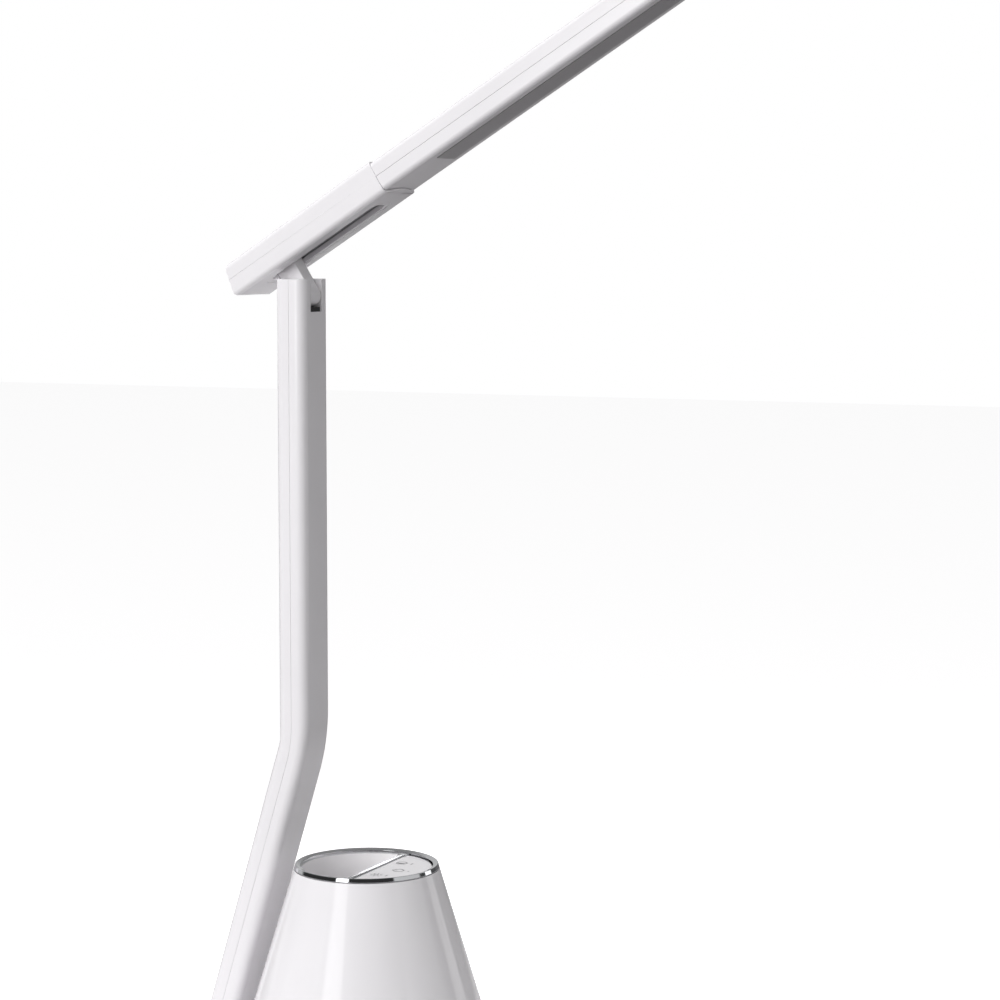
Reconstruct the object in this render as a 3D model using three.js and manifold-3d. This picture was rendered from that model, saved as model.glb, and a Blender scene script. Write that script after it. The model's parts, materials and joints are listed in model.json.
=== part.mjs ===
import * as THREE from 'three';
import { mergeVertices } from 'three/addons/utils/BufferGeometryUtils.js';
import Module from 'manifold-3d';

// Desk lamp whose cone shaped base holds pens. A bent post stands behind the cone, and a light
// bar slides and tilts on the post's top. Millimetres, +Z up, and the lamp's front faces -Y.
// The origin is the middle of the base's underside, on the table.

const wasm = await Module();
wasm.setup();

// Clearances that all pieces share
const seat_gap = 0.3;
const cut_overrun = 1;

// Counts of flats on round faces
const cone_flats = 60;
const outline_flats = 40;
const round_flats = 16;
const screw_flats = 10;
const corner_flats = 4;
const bend_flats = 8;

// Cone shell and its bright rim
const rim_height = 130;
const rim_radius = 36;
const rim_inner_radius = 33.2;
const rim_band_height = 2.2;
const rim_edge = 0.4;
const cone_foot_radius = 71;
const shell_wall = 2.2;
const rebate_depth = 1.3;
const rebate_width = 1;
const shell_boss_radius = 3.8;
const shell_boss_height = 14;

// Base plate, weight and pad under the cone
const pad_thickness = 1.7;
const pad_inset = 4;
const tray_margin = 3;
const tray_thickness = 12;
const tongue_width = 36;
const tongue_fillet = 14;
const cover_inset = 6;
const cover_thickness = 1.6;
const weight_margin = 10.5;
const weight_thickness = 7.4;
const bolt_circle_inset = 8.5;
const shell_screw_angles = [-90, 40, 140];
const cover_screw_angles = [-30, -150, 66, 114];

// Pen cup, divider and touch panel in the cone's mouth
const cup_inner_radius = 33;
const cup_foot_inner_radius = 31.4;
const cup_wall = 1.4;
const cup_floor_height = 34;
const cup_floor_thickness = 1.6;
const cup_flange_thickness = 1;
const divider_y = -5.3;
const divider_width = 2;
const divider_height = 1.9;
const divider_end_length = 3;
const divider_end_width = 5.4;
const divider_end_height = 1.5;
const panel_drop = 2;
const panel_thickness = 2.1;
const touch_board_thickness = 1.2;
const touch_board_margin = 2.4;
const deck_thickness = 1.6;

// Driver board and its inlet, on the right of the base
const inlet_angle = 15;
const board_length = 30;
const board_width = 24;
const board_thickness = 1.6;
const board_setback = 8.1;
const board_peg_radius = 2.2;
const board_peg_height = 4;
const board_peg_margin = 3.5;
const inlet_length = 8.8;
const inlet_width = 9.2;
const inlet_height = 3.6;
const inlet_wall = 0.4;
const inlet_depth = 6;
const inlet_tongue_width = 6.6;
const inlet_tongue_height = 0.8;
const inlet_tongue_length = 4.6;
const inlet_setback = 1;
const inlet_window_margin = 0.5;

// Post: upright above, leaning back below along the cone's side
const post_width = 27.6;
const post_depth = 16.5;
const post_corner = 4.7;
const post_wall = 2.2;
const post_above_axis = 8.3;
const post_behind_cone = 8.66;
const bend_above_rim = 61;
const rear_bend_radius = 17;
const front_bend_radius = 117;
const fork_slot_width = 11.6;
const fork_slot_below_axis = 8;
const fork_web = 6;
const fork_spigot = 10;

// Steel strip and alloy foot inside the post
const spine_width = 10;
const spine_thickness = 2;
const spine_pocket = 5;
const spine_socket = 10;
const anchor_height = 40;
const anchor_screw_spacing = 14;
const anchor_screw_rise = 14;

// Lead from the driver board up the post
const lead_radius = 1.3;
const lead_offset = 3.3;
const lead_bore_clearance = 0.5;
const lead_entry_inset = 13.5;
const lead_entry_height = 30;
const lead_groove_height = 6.4;
const lead_groove_bend = 4;
const lead_post_bend = 60;
const lead_end_drop = 3;
const lead_flats = 6;
const lead_steps = 60;

// Tilt hinge at the top of the post
const hinge_forward = 2.7;
const hinge_height = 415;
const pin_radius = 2.2;
const pin_length = 23;
const pin_clearance = 0.2;
const lug_width = 10.2;
const lug_thickness = 11.2;
const washer_thickness = 0.4;
const washer_radius = 5.2;

// Screws
const screw_radius = 1.5;
const screw_clearance = 0.2;
const screw_head_radius = 2.9;
const screw_head_height = 1.4;
const screw_point = 1;
const cover_screw_length = 8;
const shell_screw_length = 18;
const anchor_screw_length = 24;
const shell_screw_counterbore = 3.4;

// Arm, measured along the arm from the hinge and square to it from the hinge
const arm_rise = THREE.MathUtils.degToRad(31.7);
const arm_parting = 24.6;
const tail_start = -26.5;
const tail_mouth = 71.5;
const tail_width = 35;
const tail_bottom = 15.6;
const tail_top_at_start = 32.1;
const tail_top_at_mouth = 33.1;
const tail_corner = 4.4;
const tail_edge = 1.4;
const tail_end_radius = 4.4;
const tail_end_flats = 4;
const tail_end_lean = 3.2;
const tail_side_wall = 1.8;
const tail_floor = 2.4;
const tail_roof = 30.8;

// Slot under the tail
const slot_start_margin = 16.3;
const slot_end_margin = 2.2;
const slot_width = 12;
const slot_border = 2;
const slot_border_ends = 3.5;
const slot_corner = 4;
const slot_border_depth = 0.8;

// Slider inside the tail
const rail_inner_x = 6.8;
const rail_width = 4.4;
const rail_thickness = 0.8;
const rail_start_margin = 3.8;
const rail_end_margin = 0.7;
const shoe_length = 18;
const shoe_width = 22;
const shoe_thickness = 6;
const shoe_screw_length = 13;
const spring_width = 12;
const spring_span = 15;
const spring_thickness = 0.6;
const spring_flats = 10;

// Light head
const head_end = 320;
const head_width = 34.2;
const head_bottom = 16.8;
const head_top = 32;
const head_corner = 4;
const head_edge = 1.2;
const head_wall = 1.6;
const window_start_margin = 29.5;
const window_end_margin = 7;
const window_width = 19.4;
const coupling_plug_length = 10;
const coupling_seat_length = 14.5;
const coupling_wall = 1.5;
const diffuser_proud = 0.4;
const diffuser_flange_width = 22.8;
const diffuser_flange_thickness = 1.6;
const reflector_wall = 0.8;
const reflector_top_width = 13;
const reflector_foot_width = 20.4;
const led_board_width = 16;
const led_board_thickness = 1.1;
const led_board_margin = 4;
const led_count = 20;
const led_size = 3.4;
const led_height = 0.8;
const head_lead_radius = 1.2;
const head_lead_inset = 2.5;
const head_lead_steps = 6;

// Sizes worked out from the values above
const tray_radius = cone_foot_radius + tray_margin;
const bolt_circle_radius = cone_foot_radius - bolt_circle_inset;
const weight_radius = bolt_circle_radius - weight_margin;
const lead_entry_y = cone_foot_radius - lead_entry_inset;
const post_height = hinge_height + post_above_axis;
const tray_bottom = pad_thickness + seat_gap;
const tray_top = tray_bottom + tray_thickness;
const cover_top = tray_bottom + cover_thickness;
const cover_recess_top = cover_top + seat_gap;
const shell_foot = tray_top + seat_gap;
const cone_slope = (cone_foot_radius - rim_radius) / (rim_height - shell_foot);
const band_foot = rim_height - rim_band_height;
const shell_top = band_foot - seat_gap;
const rebate_floor = shell_top - rebate_depth;
const panel_top = rim_height - panel_drop;
const panel_foot = panel_top - panel_thickness;
const deck_top = panel_foot - touch_board_thickness - 2 * seat_gap;
const deck_foot = deck_top - deck_thickness;
const cup_outer_radius = cup_inner_radius + cup_wall;
const post_lean = Math.atan(cone_slope);
const bend_height = rim_height + bend_above_rim;
const front_bend_height = bend_height - post_depth * Math.tan(post_lean / 2);
const post_front_y = coneRadius(front_bend_height) + post_behind_cone;
const post_rear_y = post_front_y + post_depth;
const post_y = (post_front_y + post_rear_y) / 2;
const hinge_y = post_y - hinge_forward;
const post_foot_y = (footY(post_rear_y, bend_height) + footY(post_front_y, front_bend_height)) / 2;
const fork_floor = hinge_height - fork_slot_below_axis;
const fork_foot = fork_floor - fork_web;
const post_shell_top = fork_foot - seat_gap;
const fork_spigot_foot = fork_foot - fork_spigot;
const spine_top = fork_foot + spine_pocket;
const anchor_foot = shell_foot;
const anchor_top = anchor_foot + anchor_height;
const tail_cavity_floor = tail_bottom + tail_floor;
const coupling_start = tail_mouth - coupling_plug_length;
const coupling_end = tail_mouth + coupling_seat_length;
const slot_start = tail_start + slot_start_margin;
const slot_end = coupling_start - slot_end_margin;
const rail_start = slot_start - rail_start_margin;
const rail_end = coupling_start - rail_end_margin;
const window_start = tail_mouth + window_start_margin;
const window_end = head_end - window_end_margin;
const head_lead_start = coupling_start + head_lead_inset;
const rail_foot = tail_cavity_floor + seat_gap;
const shoe_foot = rail_foot + rail_thickness + seat_gap;
const shoe_top = shoe_foot + shoe_thickness;
const head_start = tail_mouth + seat_gap;
const head_cavity_floor = head_bottom + head_wall;
const head_cavity_roof = head_top - head_wall;
const diffuser_flange_foot = head_cavity_floor + seat_gap;
const diffuser_flange_top = diffuser_flange_foot + diffuser_flange_thickness;
const led_board_top = head_cavity_roof - seat_gap;
const led_board_foot = led_board_top - led_board_thickness;

const finishes = {
  white_plastic: { color: 0xf2f2f4, roughness: 0.22, metalness: 0 },
  grey_plastic: { color: 0xd9d9dc, roughness: 0.4, metalness: 0 },
  chrome: { color: 0xd8dadd, roughness: 0.08, metalness: 1 },
  steel: { color: 0x9a9da1, roughness: 0.35, metalness: 1 },
  alloy: { color: 0xb7b9bc, roughness: 0.45, metalness: 1 },
  board_green: { color: 0x2e6a4a, roughness: 0.5, metalness: 0 },
  diffuser: { color: 0x8b8a8d, roughness: 0.5, metalness: 0 },
  foam: { color: 0x333335, roughness: 0.9, metalness: 0 },
  lead_jacket: { color: 0xe8e8e8, roughness: 0.6, metalness: 0 },
  friction_disc: { color: 0xe6e2d6, roughness: 0.6, metalness: 0 },
};

// Small helpers for outlines

function footY(face_y, vertex_height) {
  return face_y + (vertex_height - shell_foot) * cone_slope;
}

function coneRadius(height) {
  return rim_radius + (rim_height - height) * cone_slope;
}

function arcPoints(x, y, radius, from, to, flats) {
  return Array.from({ length: flats + 1 }, (_, i) => {
    const angle = from + ((to - from) * i) / flats;
    return new THREE.Vector2(x + radius * Math.cos(angle), y + radius * Math.sin(angle));
  });
}

function joinedOutline(...runs) {
  const points = runs.flat();
  return points.filter((point, i) => {
    const before = points[(i + points.length - 1) % points.length];
    return point.distanceTo(before) > seat_gap / 100;
  });
}

function rectangle(width, low, high) {
  const half = width / 2;
  return [
    new THREE.Vector2(half, low),
    new THREE.Vector2(half, high),
    new THREE.Vector2(-half, high),
    new THREE.Vector2(-half, low),
  ];
}

// Half of a rounded section: square at the parting line, rounded at the crown
function halfSection(width, parting, crown, radius) {
  const side = Math.sign(crown - parting);
  const quarter = arcPoints(width / 2 - radius, 0, radius, 0, Math.PI / 2, corner_flats);
  const right = quarter.map((p) => new THREE.Vector2(p.x, crown - side * (radius - p.y)));
  const left = right.map((p) => new THREE.Vector2(-p.x, p.y)).reverse();
  return [
    new THREE.Vector2(width / 2, parting),
    ...right,
    ...left,
    new THREE.Vector2(-width / 2, parting),
  ];
}

function roundedSection(width, low, high, radius) {
  const middle = (low + high) / 2;
  const upper = halfSection(width, middle, high, radius).slice(1, -1);
  const lower = halfSection(width, middle, low, radius).slice(1, -1).reverse();
  return [...upper, ...lower];
}

// A slot's outline along the arm, with round corners
function slotOutline(width, start, end, radius) {
  const x = width / 2 - radius;
  const [near, far] = [-(start + radius), -(end - radius)];
  const quarter = Math.PI / 2;
  return joinedOutline(
    arcPoints(x, near, radius, 0, quarter, corner_flats),
    arcPoints(-x, near, radius, quarter, 2 * quarter, corner_flats),
    arcPoints(-x, far, radius, 2 * quarter, 3 * quarter, corner_flats),
    arcPoints(x, far, radius, 3 * quarter, 4 * quarter, corner_flats),
  );
}

// Round plate with a tongue at the back that carries the post
function baseOutline(inset) {
  const radius = tray_radius - inset;
  const half = tongue_width / 2 - inset;
  const fillet = tongue_fillet + inset;
  const fillet_x = half + fillet;
  const fillet_y = Math.sqrt((radius + fillet) ** 2 - fillet_x ** 2);
  const turn = Math.atan2(fillet_y, fillet_x);
  const full = 2 * Math.PI;
  return joinedOutline(
    arcPoints(0, 0, radius, Math.PI - turn, full + turn, outline_flats),
    arcPoints(fillet_x, fillet_y, fillet, turn + Math.PI, Math.PI, corner_flats),
    arcPoints(0, post_foot_y, half, 0, Math.PI, round_flats),
    arcPoints(-fillet_x, fillet_y, fillet, 0, -turn, corner_flats),
  );
}

// Round outline cut off by a straight chord, kept behind the chord or in front of it
function chordOutline(radius, chord_y, keep_behind, flats) {
  const dip = Math.asin(chord_y / radius);
  if (keep_behind) {
    return arcPoints(0, 0, radius, dip, Math.PI - dip, flats);
  }
  return arcPoints(0, 0, radius, Math.PI - dip, 2 * Math.PI + dip, flats);
}

// Small helpers for solids

function signedVolume(geometry) {
  const position = geometry.attributes.position;
  const index = geometry.index;
  const [a, b, c] = [new THREE.Vector3(), new THREE.Vector3(), new THREE.Vector3()];
  let sum = 0;
  for (let i = 0; i < index.count; i += 3) {
    a.fromBufferAttribute(position, index.getX(i));
    b.fromBufferAttribute(position, index.getX(i + 1));
    c.fromBufferAttribute(position, index.getX(i + 2));
    sum += a.dot(b.cross(c));
  }
  return sum;
}

// Shared corners merged, empty triangles dropped and faces turned outwards
function closedMesh(geometry) {
  geometry.deleteAttribute('normal');
  geometry.deleteAttribute('uv');
  const merged = mergeVertices(geometry);
  const kept = [];
  for (let i = 0; i < merged.index.count; i += 3) {
    const [a, b, c] = [0, 1, 2].map((k) => merged.index.getX(i + k));
    if (a !== b && b !== c && c !== a) {
      kept.push(a, b, c);
    }
  }
  merged.clearGroups();
  merged.setIndex(kept);
  if (signedVolume(merged) < 0) {
    merged.setIndex(kept.reverse());
  }
  return merged;
}

function asSolid(geometry) {
  const closed = closedMesh(geometry.clone());
  return new wasm.Manifold(new wasm.Mesh({
    numProp: 3,
    vertProperties: new Float32Array(closed.attributes.position.array),
    triVerts: new Uint32Array(closed.index.array),
  }));
}

function shaped(body, added, cuts) {
  let solid = asSolid(body);
  for (const geometry of added) {
    solid = solid.add(asSolid(geometry));
  }
  for (const geometry of cuts) {
    solid = solid.subtract(asSolid(geometry));
  }
  const mesh = solid.getMesh();
  const result = new THREE.BufferGeometry();
  result.setAttribute('position', new THREE.BufferAttribute(mesh.vertProperties, 3));
  result.setIndex(new THREE.BufferAttribute(mesh.triVerts, 1));
  return result;
}

function ringNormal(ring) {
  const normal = new THREE.Vector3();
  ring.forEach((point, i) => {
    normal.add(new THREE.Vector3().crossVectors(point, ring[(i + 1) % ring.length]));
  });
  return normal.normalize();
}

function capTriangles(ring) {
  const normal = ringNormal(ring);
  const across = ring[1].clone().sub(ring[0]).normalize();
  const along = new THREE.Vector3().crossVectors(normal, across);
  const flat = ring.map((p) => new THREE.Vector2(p.dot(across), p.dot(along)));
  return THREE.ShapeUtils.triangulateShape(flat, []).map(([a, b, c]) => {
    const turn = flat[b].clone().sub(flat[a]).cross(flat[c].clone().sub(flat[a]));
    return turn > 0 ? [a, b, c] : [a, c, b];
  });
}

// A closed solid through matching rings of points, with flat ends
function loft(rings) {
  const count = rings[0].length;
  const last = (rings.length - 1) * count;
  const index = [];
  for (let start = 0; start < last; start += count) {
    for (let i = 0; i < count; i += 1) {
      const next = (i + 1) % count;
      const [a, b] = [start + i, start + next];
      index.push(a, b, b + count, a, b + count, a + count);
    }
  }
  for (const [a, b, c] of capTriangles(rings[0])) {
    index.push(a, c, b);
  }
  for (const [a, b, c] of capTriangles(rings[rings.length - 1])) {
    index.push(last + a, last + b, last + c);
  }
  const geometry = new THREE.BufferGeometry();
  geometry.setFromPoints(rings.flat());
  geometry.setIndex(index);
  return geometry;
}

function turned(profile, flats) {
  const points = profile.map(([radius, height]) => new THREE.Vector2(radius, height));
  return new THREE.LatheGeometry(points, flats).rotateX(Math.PI / 2);
}

function turnedRing(profile, flats) {
  return turned([...profile, profile[0]], flats);
}

function plate(outline, low, high) {
  const settings = { depth: high - low, bevelEnabled: false };
  return new THREE.ExtrudeGeometry(new THREE.Shape(outline), settings).translate(0, 0, low);
}

function block(x, y, z) {
  const geometry = new THREE.BoxGeometry(x[1] - x[0], y[1] - y[0], z[1] - z[0]);
  return geometry.translate((x[0] + x[1]) / 2, (y[0] + y[1]) / 2, (z[0] + z[1]) / 2);
}

function centred(width) {
  return [-width / 2, width / 2];
}

// A stretch along the arm, in the arm's own frame where the head lies towards -Y
function alongArm(start, end) {
  return [-end, -start];
}

function upright(radius, x, y, low, high, flats) {
  const geometry = new THREE.CylinderGeometry(radius, radius, high - low, flats);
  return geometry.rotateX(Math.PI / 2).translate(x, y, (low + high) / 2);
}

function crossRod(radius, length, flats) {
  return new THREE.CylinderGeometry(radius, radius, length, flats).rotateZ(Math.PI / 2);
}

// An outline drawn in Y and Z, made as wide as asked along X
function profileAcross(shape, width) {
  const settings = { depth: width, bevelEnabled: false, curveSegments: round_flats / 2 };
  const turn = new THREE.Matrix4().makeBasis(
    new THREE.Vector3(0, 1, 0),
    new THREE.Vector3(0, 0, 1),
    new THREE.Vector3(1, 0, 0),
  );
  const geometry = new THREE.ExtrudeGeometry(shape, settings).translate(0, 0, -width / 2);
  return geometry.applyMatrix4(turn);
}

function tube(path, radius, steps) {
  const circle = arcPoints(0, 0, radius, 0, 2 * Math.PI, lead_flats).slice(1);
  const settings = { steps, extrudePath: path, bevelEnabled: false };
  return new THREE.ExtrudeGeometry(new THREE.Shape(circle), settings);
}

// Straight runs joined by rounded corners, each corner with its own radius
function roundedPath(points, radii) {
  const path = new THREE.CurvePath();
  let from = points[0];
  for (let i = 1; i < points.length - 1; i += 1) {
    const before = points[i - 1].clone().sub(points[i]).normalize();
    const after = points[i + 1].clone().sub(points[i]).normalize();
    const reach = radii[i - 1] / Math.tan(before.angleTo(after) / 2);
    const entry = points[i].clone().addScaledVector(before, reach);
    const exit = points[i].clone().addScaledVector(after, reach);
    path.add(new THREE.LineCurve3(from, entry));
    path.add(new THREE.QuadraticBezierCurve3(entry, points[i], exit));
    from = exit;
  }
  path.add(new THREE.LineCurve3(from, points[points.length - 1]));
  return path;
}

function onBoltCircle(degrees) {
  const angle = THREE.MathUtils.degToRad(degrees);
  return [bolt_circle_radius * Math.cos(angle), bolt_circle_radius * Math.sin(angle)];
}

function addPiece(group, name, geometry, finish) {
  const mesh = new THREE.Mesh(
    closedMesh(geometry),
    new THREE.MeshStandardMaterial(finishes[finish]),
  );
  mesh.name = name;
  group.add(mesh);
  return mesh;
}

// Screws point up, with the head's outer face at the mesh's own origin
function countersunkScrew(length) {
  return turned([
    [0, 0],
    [screw_head_radius, 0],
    [screw_radius, screw_head_height],
    [screw_radius, length - screw_point],
    [0, length],
  ], screw_flats);
}

function panScrew(length) {
  return turned([
    [0, 0],
    [screw_head_radius, 0],
    [screw_head_radius, screw_head_height],
    [screw_radius, screw_head_height],
    [screw_radius, screw_head_height + length - screw_point],
    [0, screw_head_height + length],
  ], screw_flats);
}

// Places along the post: the rear and the front face, bottom to top

function levelStation(height) {
  const rear_drop = Math.max(0, bend_height - height);
  const front_drop = Math.max(0, front_bend_height - height);
  return {
    rear: new THREE.Vector2(post_rear_y + rear_drop * cone_slope, height),
    front: new THREE.Vector2(post_front_y + front_drop * cone_slope, height),
  };
}

function bendPoint(face_y, vertex_height, radius, turn) {
  const reach = radius * Math.tan(post_lean / 2);
  return new THREE.Vector2(
    face_y + radius * (1 - Math.cos(turn)),
    vertex_height + reach - radius * Math.sin(turn),
  );
}

function bendStations() {
  return Array.from({ length: bend_flats + 1 }, (_, i) => {
    const turn = post_lean * (1 - i / bend_flats);
    return {
      rear: bendPoint(post_rear_y, bend_height, rear_bend_radius, turn),
      front: bendPoint(post_front_y, front_bend_height, front_bend_radius, turn),
    };
  });
}

// Sections of the post have their Y counted from the rear face towards the front face
function postRing(section, station) {
  return section.map((point) => {
    const place = station.rear.clone().lerp(station.front, point.y / post_depth);
    return new THREE.Vector3(point.x, place.x, place.y);
  });
}

function postSolid(section, low, high) {
  const stations = [levelStation(low), ...bendStations(), levelStation(high)];
  return loft(stations.map((station) => postRing(section, station)));
}

function postStump(section, low, high) {
  return loft([low, high].map((height) => postRing(section, levelStation(height))));
}

function spineSection(margin) {
  const thickness = spine_thickness + 2 * margin;
  const middle = post_depth / 2;
  return rectangle(spine_width + 2 * margin, middle - thickness / 2, middle + thickness / 2);
}

function leadPlace(height) {
  const station = levelStation(height);
  const share = (post_depth / 2 + lead_offset) / post_depth;
  const place = station.rear.clone().lerp(station.front, share);
  return new THREE.Vector3(0, place.x, place.y);
}

function leadBendVertex() {
  const rear = new THREE.Vector2(post_rear_y, bend_height);
  const front = new THREE.Vector2(post_front_y, front_bend_height);
  const place = rear.lerp(front, (post_depth / 2 + lead_offset) / post_depth);
  return new THREE.Vector3(0, place.x, place.y);
}

function leadPath() {
  const points = [
    new THREE.Vector3(0, lead_entry_y, lead_entry_height),
    new THREE.Vector3(0, lead_entry_y, lead_groove_height),
    leadPlace(lead_groove_height),
    leadBendVertex(),
    leadPlace(fork_floor - lead_end_drop),
  ];
  return roundedPath(points, [lead_groove_bend, lead_groove_bend, lead_post_bend]);
}

function leadBore() {
  return tube(leadPath(), lead_radius + lead_bore_clearance, lead_steps);
}

// Base

function coneShell() {
  const lip_inner = coneRadius(rebate_floor) - shell_wall + rebate_width;
  const wall = turnedRing([
    [coneRadius(shell_foot), shell_foot],
    [coneRadius(shell_top), shell_top],
    [lip_inner, shell_top],
    [lip_inner, rebate_floor],
    [coneRadius(rebate_floor) - shell_wall, rebate_floor],
    [coneRadius(shell_foot) - shell_wall, shell_foot],
  ], cone_flats);
  const places = shell_screw_angles.map(onBoltCircle);
  const boss_top = shell_foot + shell_boss_height;
  const bosses = places.map(([x, y]) => (
    upright(shell_boss_radius, x, y, shell_foot, boss_top, round_flats)
  ));
  const bore = screw_radius + screw_clearance;
  const bores = places.map(([x, y]) => (
    upright(bore, x, y, shell_foot - cut_overrun, boss_top - cut_overrun, screw_flats)
  ));
  return shaped(wall, bosses, [...bores, inletWindow()]);
}

function chromeRim() {
  return turnedRing([
    [rim_inner_radius, band_foot],
    [rim_inner_radius, rim_height - rim_edge],
    [rim_inner_radius + rim_edge, rim_height],
    [rim_radius - rim_edge, rim_height],
    [rim_radius, rim_height - rim_edge],
    [coneRadius(band_foot), band_foot],
  ], cone_flats);
}

function cupRing(radius, chord_y, height) {
  const outline = chordOutline(radius, chord_y, true, outline_flats / 2);
  return outline.map((p) => new THREE.Vector3(p.x, p.y, height));
}

// The pen cup hangs by its flange, and a lower deck in front of it carries the touch panel
function penCup() {
  const inner_chord = divider_y + cup_wall / 2;
  const outer_chord = divider_y - cup_wall / 2;
  const foot = cup_floor_height - cup_floor_thickness;
  const cup = loft([
    cupRing(cup_foot_inner_radius + cup_wall, outer_chord, foot),
    cupRing(cup_outer_radius, outer_chord, shell_top),
    cupRing(cup_inner_radius, inner_chord, shell_top),
    cupRing(cup_foot_inner_radius, inner_chord, cup_floor_height),
  ]);
  const flange_radius = coneRadius(rebate_floor) - shell_wall + rebate_width - seat_gap;
  const flange_foot = shell_top - cup_flange_thickness;
  const collar = turnedRing([
    [cup_inner_radius, deck_foot],
    [cup_inner_radius, shell_top],
    [flange_radius, shell_top],
    [flange_radius, flange_foot],
    [cup_outer_radius, flange_foot],
    [cup_outer_radius, deck_foot],
  ], outline_flats);
  const deck_radius = (cup_inner_radius + cup_outer_radius) / 2;
  const deck = chordOutline(deck_radius, divider_y, false, outline_flats / 2);
  return shaped(cup, [collar, plate(deck, deck_foot, deck_top)], []);
}

function touchPanel() {
  const edge = divider_y - divider_width / 2 - seat_gap;
  const outline = chordOutline(cup_inner_radius - seat_gap, edge, false, outline_flats / 2);
  return plate(outline, panel_foot, panel_top);
}

function touchBoard() {
  const edge = divider_y - divider_width / 2 - touch_board_margin;
  const radius = cup_inner_radius - touch_board_margin;
  const outline = chordOutline(radius, edge, false, outline_flats / 2);
  return plate(outline, deck_top + seat_gap, deck_top + seat_gap + touch_board_thickness);
}

function dividerBar() {
  const foot = shell_top + seat_gap;
  const half = Math.sqrt((rim_inner_radius - seat_gap) ** 2 - divider_end_width ** 2);
  const y = [divider_y - divider_width / 2, divider_y + divider_width / 2];
  const bar = block([-half, half], y, [foot, foot + divider_height]);
  const end_y = [divider_y - divider_end_width / 2, divider_y + divider_end_width / 2];
  const end_z = [panel_top + seat_gap, panel_top + seat_gap + divider_end_height];
  const reach = Math.sqrt((rim_inner_radius - seat_gap) ** 2 - end_y[0] ** 2);
  const ends = [-1, 1].map((side) => {
    const x = [side * reach, side * (reach - divider_end_length)].sort((a, b) => a - b);
    return block(x, end_y, end_z);
  });
  return shaped(bar, ends, []);
}

function screwHole(x, y, low, high) {
  return upright(screw_radius + screw_clearance, x, y, low, high, screw_flats);
}

function boardEnds() {
  const far = inletFace() - board_setback;
  return [far - board_length, far];
}

function boardPegs() {
  const [inner_end, outer_end] = boardEnds();
  const near = inner_end + board_peg_margin;
  const far = outer_end - board_peg_margin;
  const side = board_width / 2 - board_peg_margin;
  const top = tray_top + board_peg_height;
  const turn = THREE.MathUtils.degToRad(inlet_angle);
  return [[near, -side], [near, side], [far, -side], [far, side]].map(([x, y]) => (
    upright(board_peg_radius, x, y, tray_top - cut_overrun, top, screw_flats).rotateZ(turn)
  ));
}

function baseTray() {
  const below = tray_bottom - cut_overrun;
  const above = tray_top + cut_overrun;
  const cuts = [
    plate(baseOutline(cover_inset - seat_gap), below, cover_recess_top),
    upright(weight_radius + seat_gap, 0, 0, below, weightTop() + seat_gap, outline_flats),
    leadBore(),
  ];
  const groove = lead_radius + lead_bore_clearance;
  const groove_end = leadPlace(lead_groove_height).y;
  cuts.push(block([-groove, groove], [lead_entry_y, groove_end], [below, lead_groove_height]));
  for (const [x, y] of shell_screw_angles.map(onBoltCircle)) {
    const head_top = cover_recess_top + shell_screw_counterbore;
    cuts.push(screwHole(x, y, below, above));
    cuts.push(upright(screw_head_radius + seat_gap, x, y, below, head_top, screw_flats));
  }
  for (const [x, y] of cover_screw_angles.map(onBoltCircle)) {
    cuts.push(screwHole(x, y, below, tray_bottom + cover_screw_length + cut_overrun));
  }
  for (const x of centred(anchor_screw_spacing)) {
    const head_top = cover_recess_top + screw_head_height + seat_gap;
    cuts.push(screwHole(x, post_foot_y, below, above));
    cuts.push(upright(screw_head_radius + seat_gap, x, post_foot_y, below, head_top, screw_flats));
  }
  return shaped(plate(baseOutline(0), tray_bottom, tray_top), boardPegs(), cuts);
}

function weightTop() {
  return cover_recess_top + weight_thickness;
}

function weightPlate() {
  return upright(weight_radius, 0, 0, cover_recess_top, weightTop(), outline_flats);
}

function bottomCover() {
  const cone = turned([
    [0, -cut_overrun],
    [screw_head_radius + seat_gap, -cut_overrun],
    [screw_head_radius + seat_gap, 0],
    [screw_radius + seat_gap, screw_head_height],
    [screw_radius + seat_gap, cover_thickness + cut_overrun],
    [0, cover_thickness + cut_overrun],
  ], screw_flats);
  const holes = cover_screw_angles.map(onBoltCircle).map(([x, y]) => (
    cone.clone().translate(x, y, tray_bottom)
  ));
  return shaped(plate(baseOutline(cover_inset), tray_bottom, cover_top), [], holes);
}

function addBase(lamp) {
  addPiece(lamp, 'cone_shell', coneShell(), 'white_plastic');
  addPiece(lamp, 'chrome_rim', chromeRim(), 'chrome');
  addPiece(lamp, 'pen_cup', penCup(), 'grey_plastic');
  addPiece(lamp, 'divider_bar', dividerBar(), 'chrome');
  addPiece(lamp, 'touch_panel', touchPanel(), 'white_plastic');
  addPiece(lamp, 'touch_board', touchBoard(), 'board_green');
  addPiece(lamp, 'base_tray', baseTray(), 'white_plastic');
  addPiece(lamp, 'weight_plate', weightPlate(), 'steel');
  addPiece(lamp, 'bottom_cover', bottomCover(), 'grey_plastic');
  addPiece(lamp, 'base_pad', plate(baseOutline(pad_inset), 0, pad_thickness), 'foam');
  shell_screw_angles.map(onBoltCircle).forEach(([x, y], i) => {
    const screw = addPiece(lamp, `shell_screw_${i + 1}`, panScrew(shell_screw_length), 'steel');
    screw.position.set(x, y, cover_recess_top + shell_screw_counterbore - screw_head_height);
  });
  cover_screw_angles.map(onBoltCircle).forEach(([x, y], i) => {
    const geometry = countersunkScrew(cover_screw_length);
    const screw = addPiece(lamp, `cover_screw_${i + 1}`, geometry, 'steel');
    screw.position.set(x, y, tray_bottom);
  });
}

// Driver board and inlet, drawn along +X and turned to their place

function inletMiddle() {
  return tray_top + board_peg_height + board_thickness + 2 * seat_gap + inlet_height / 2;
}

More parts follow.
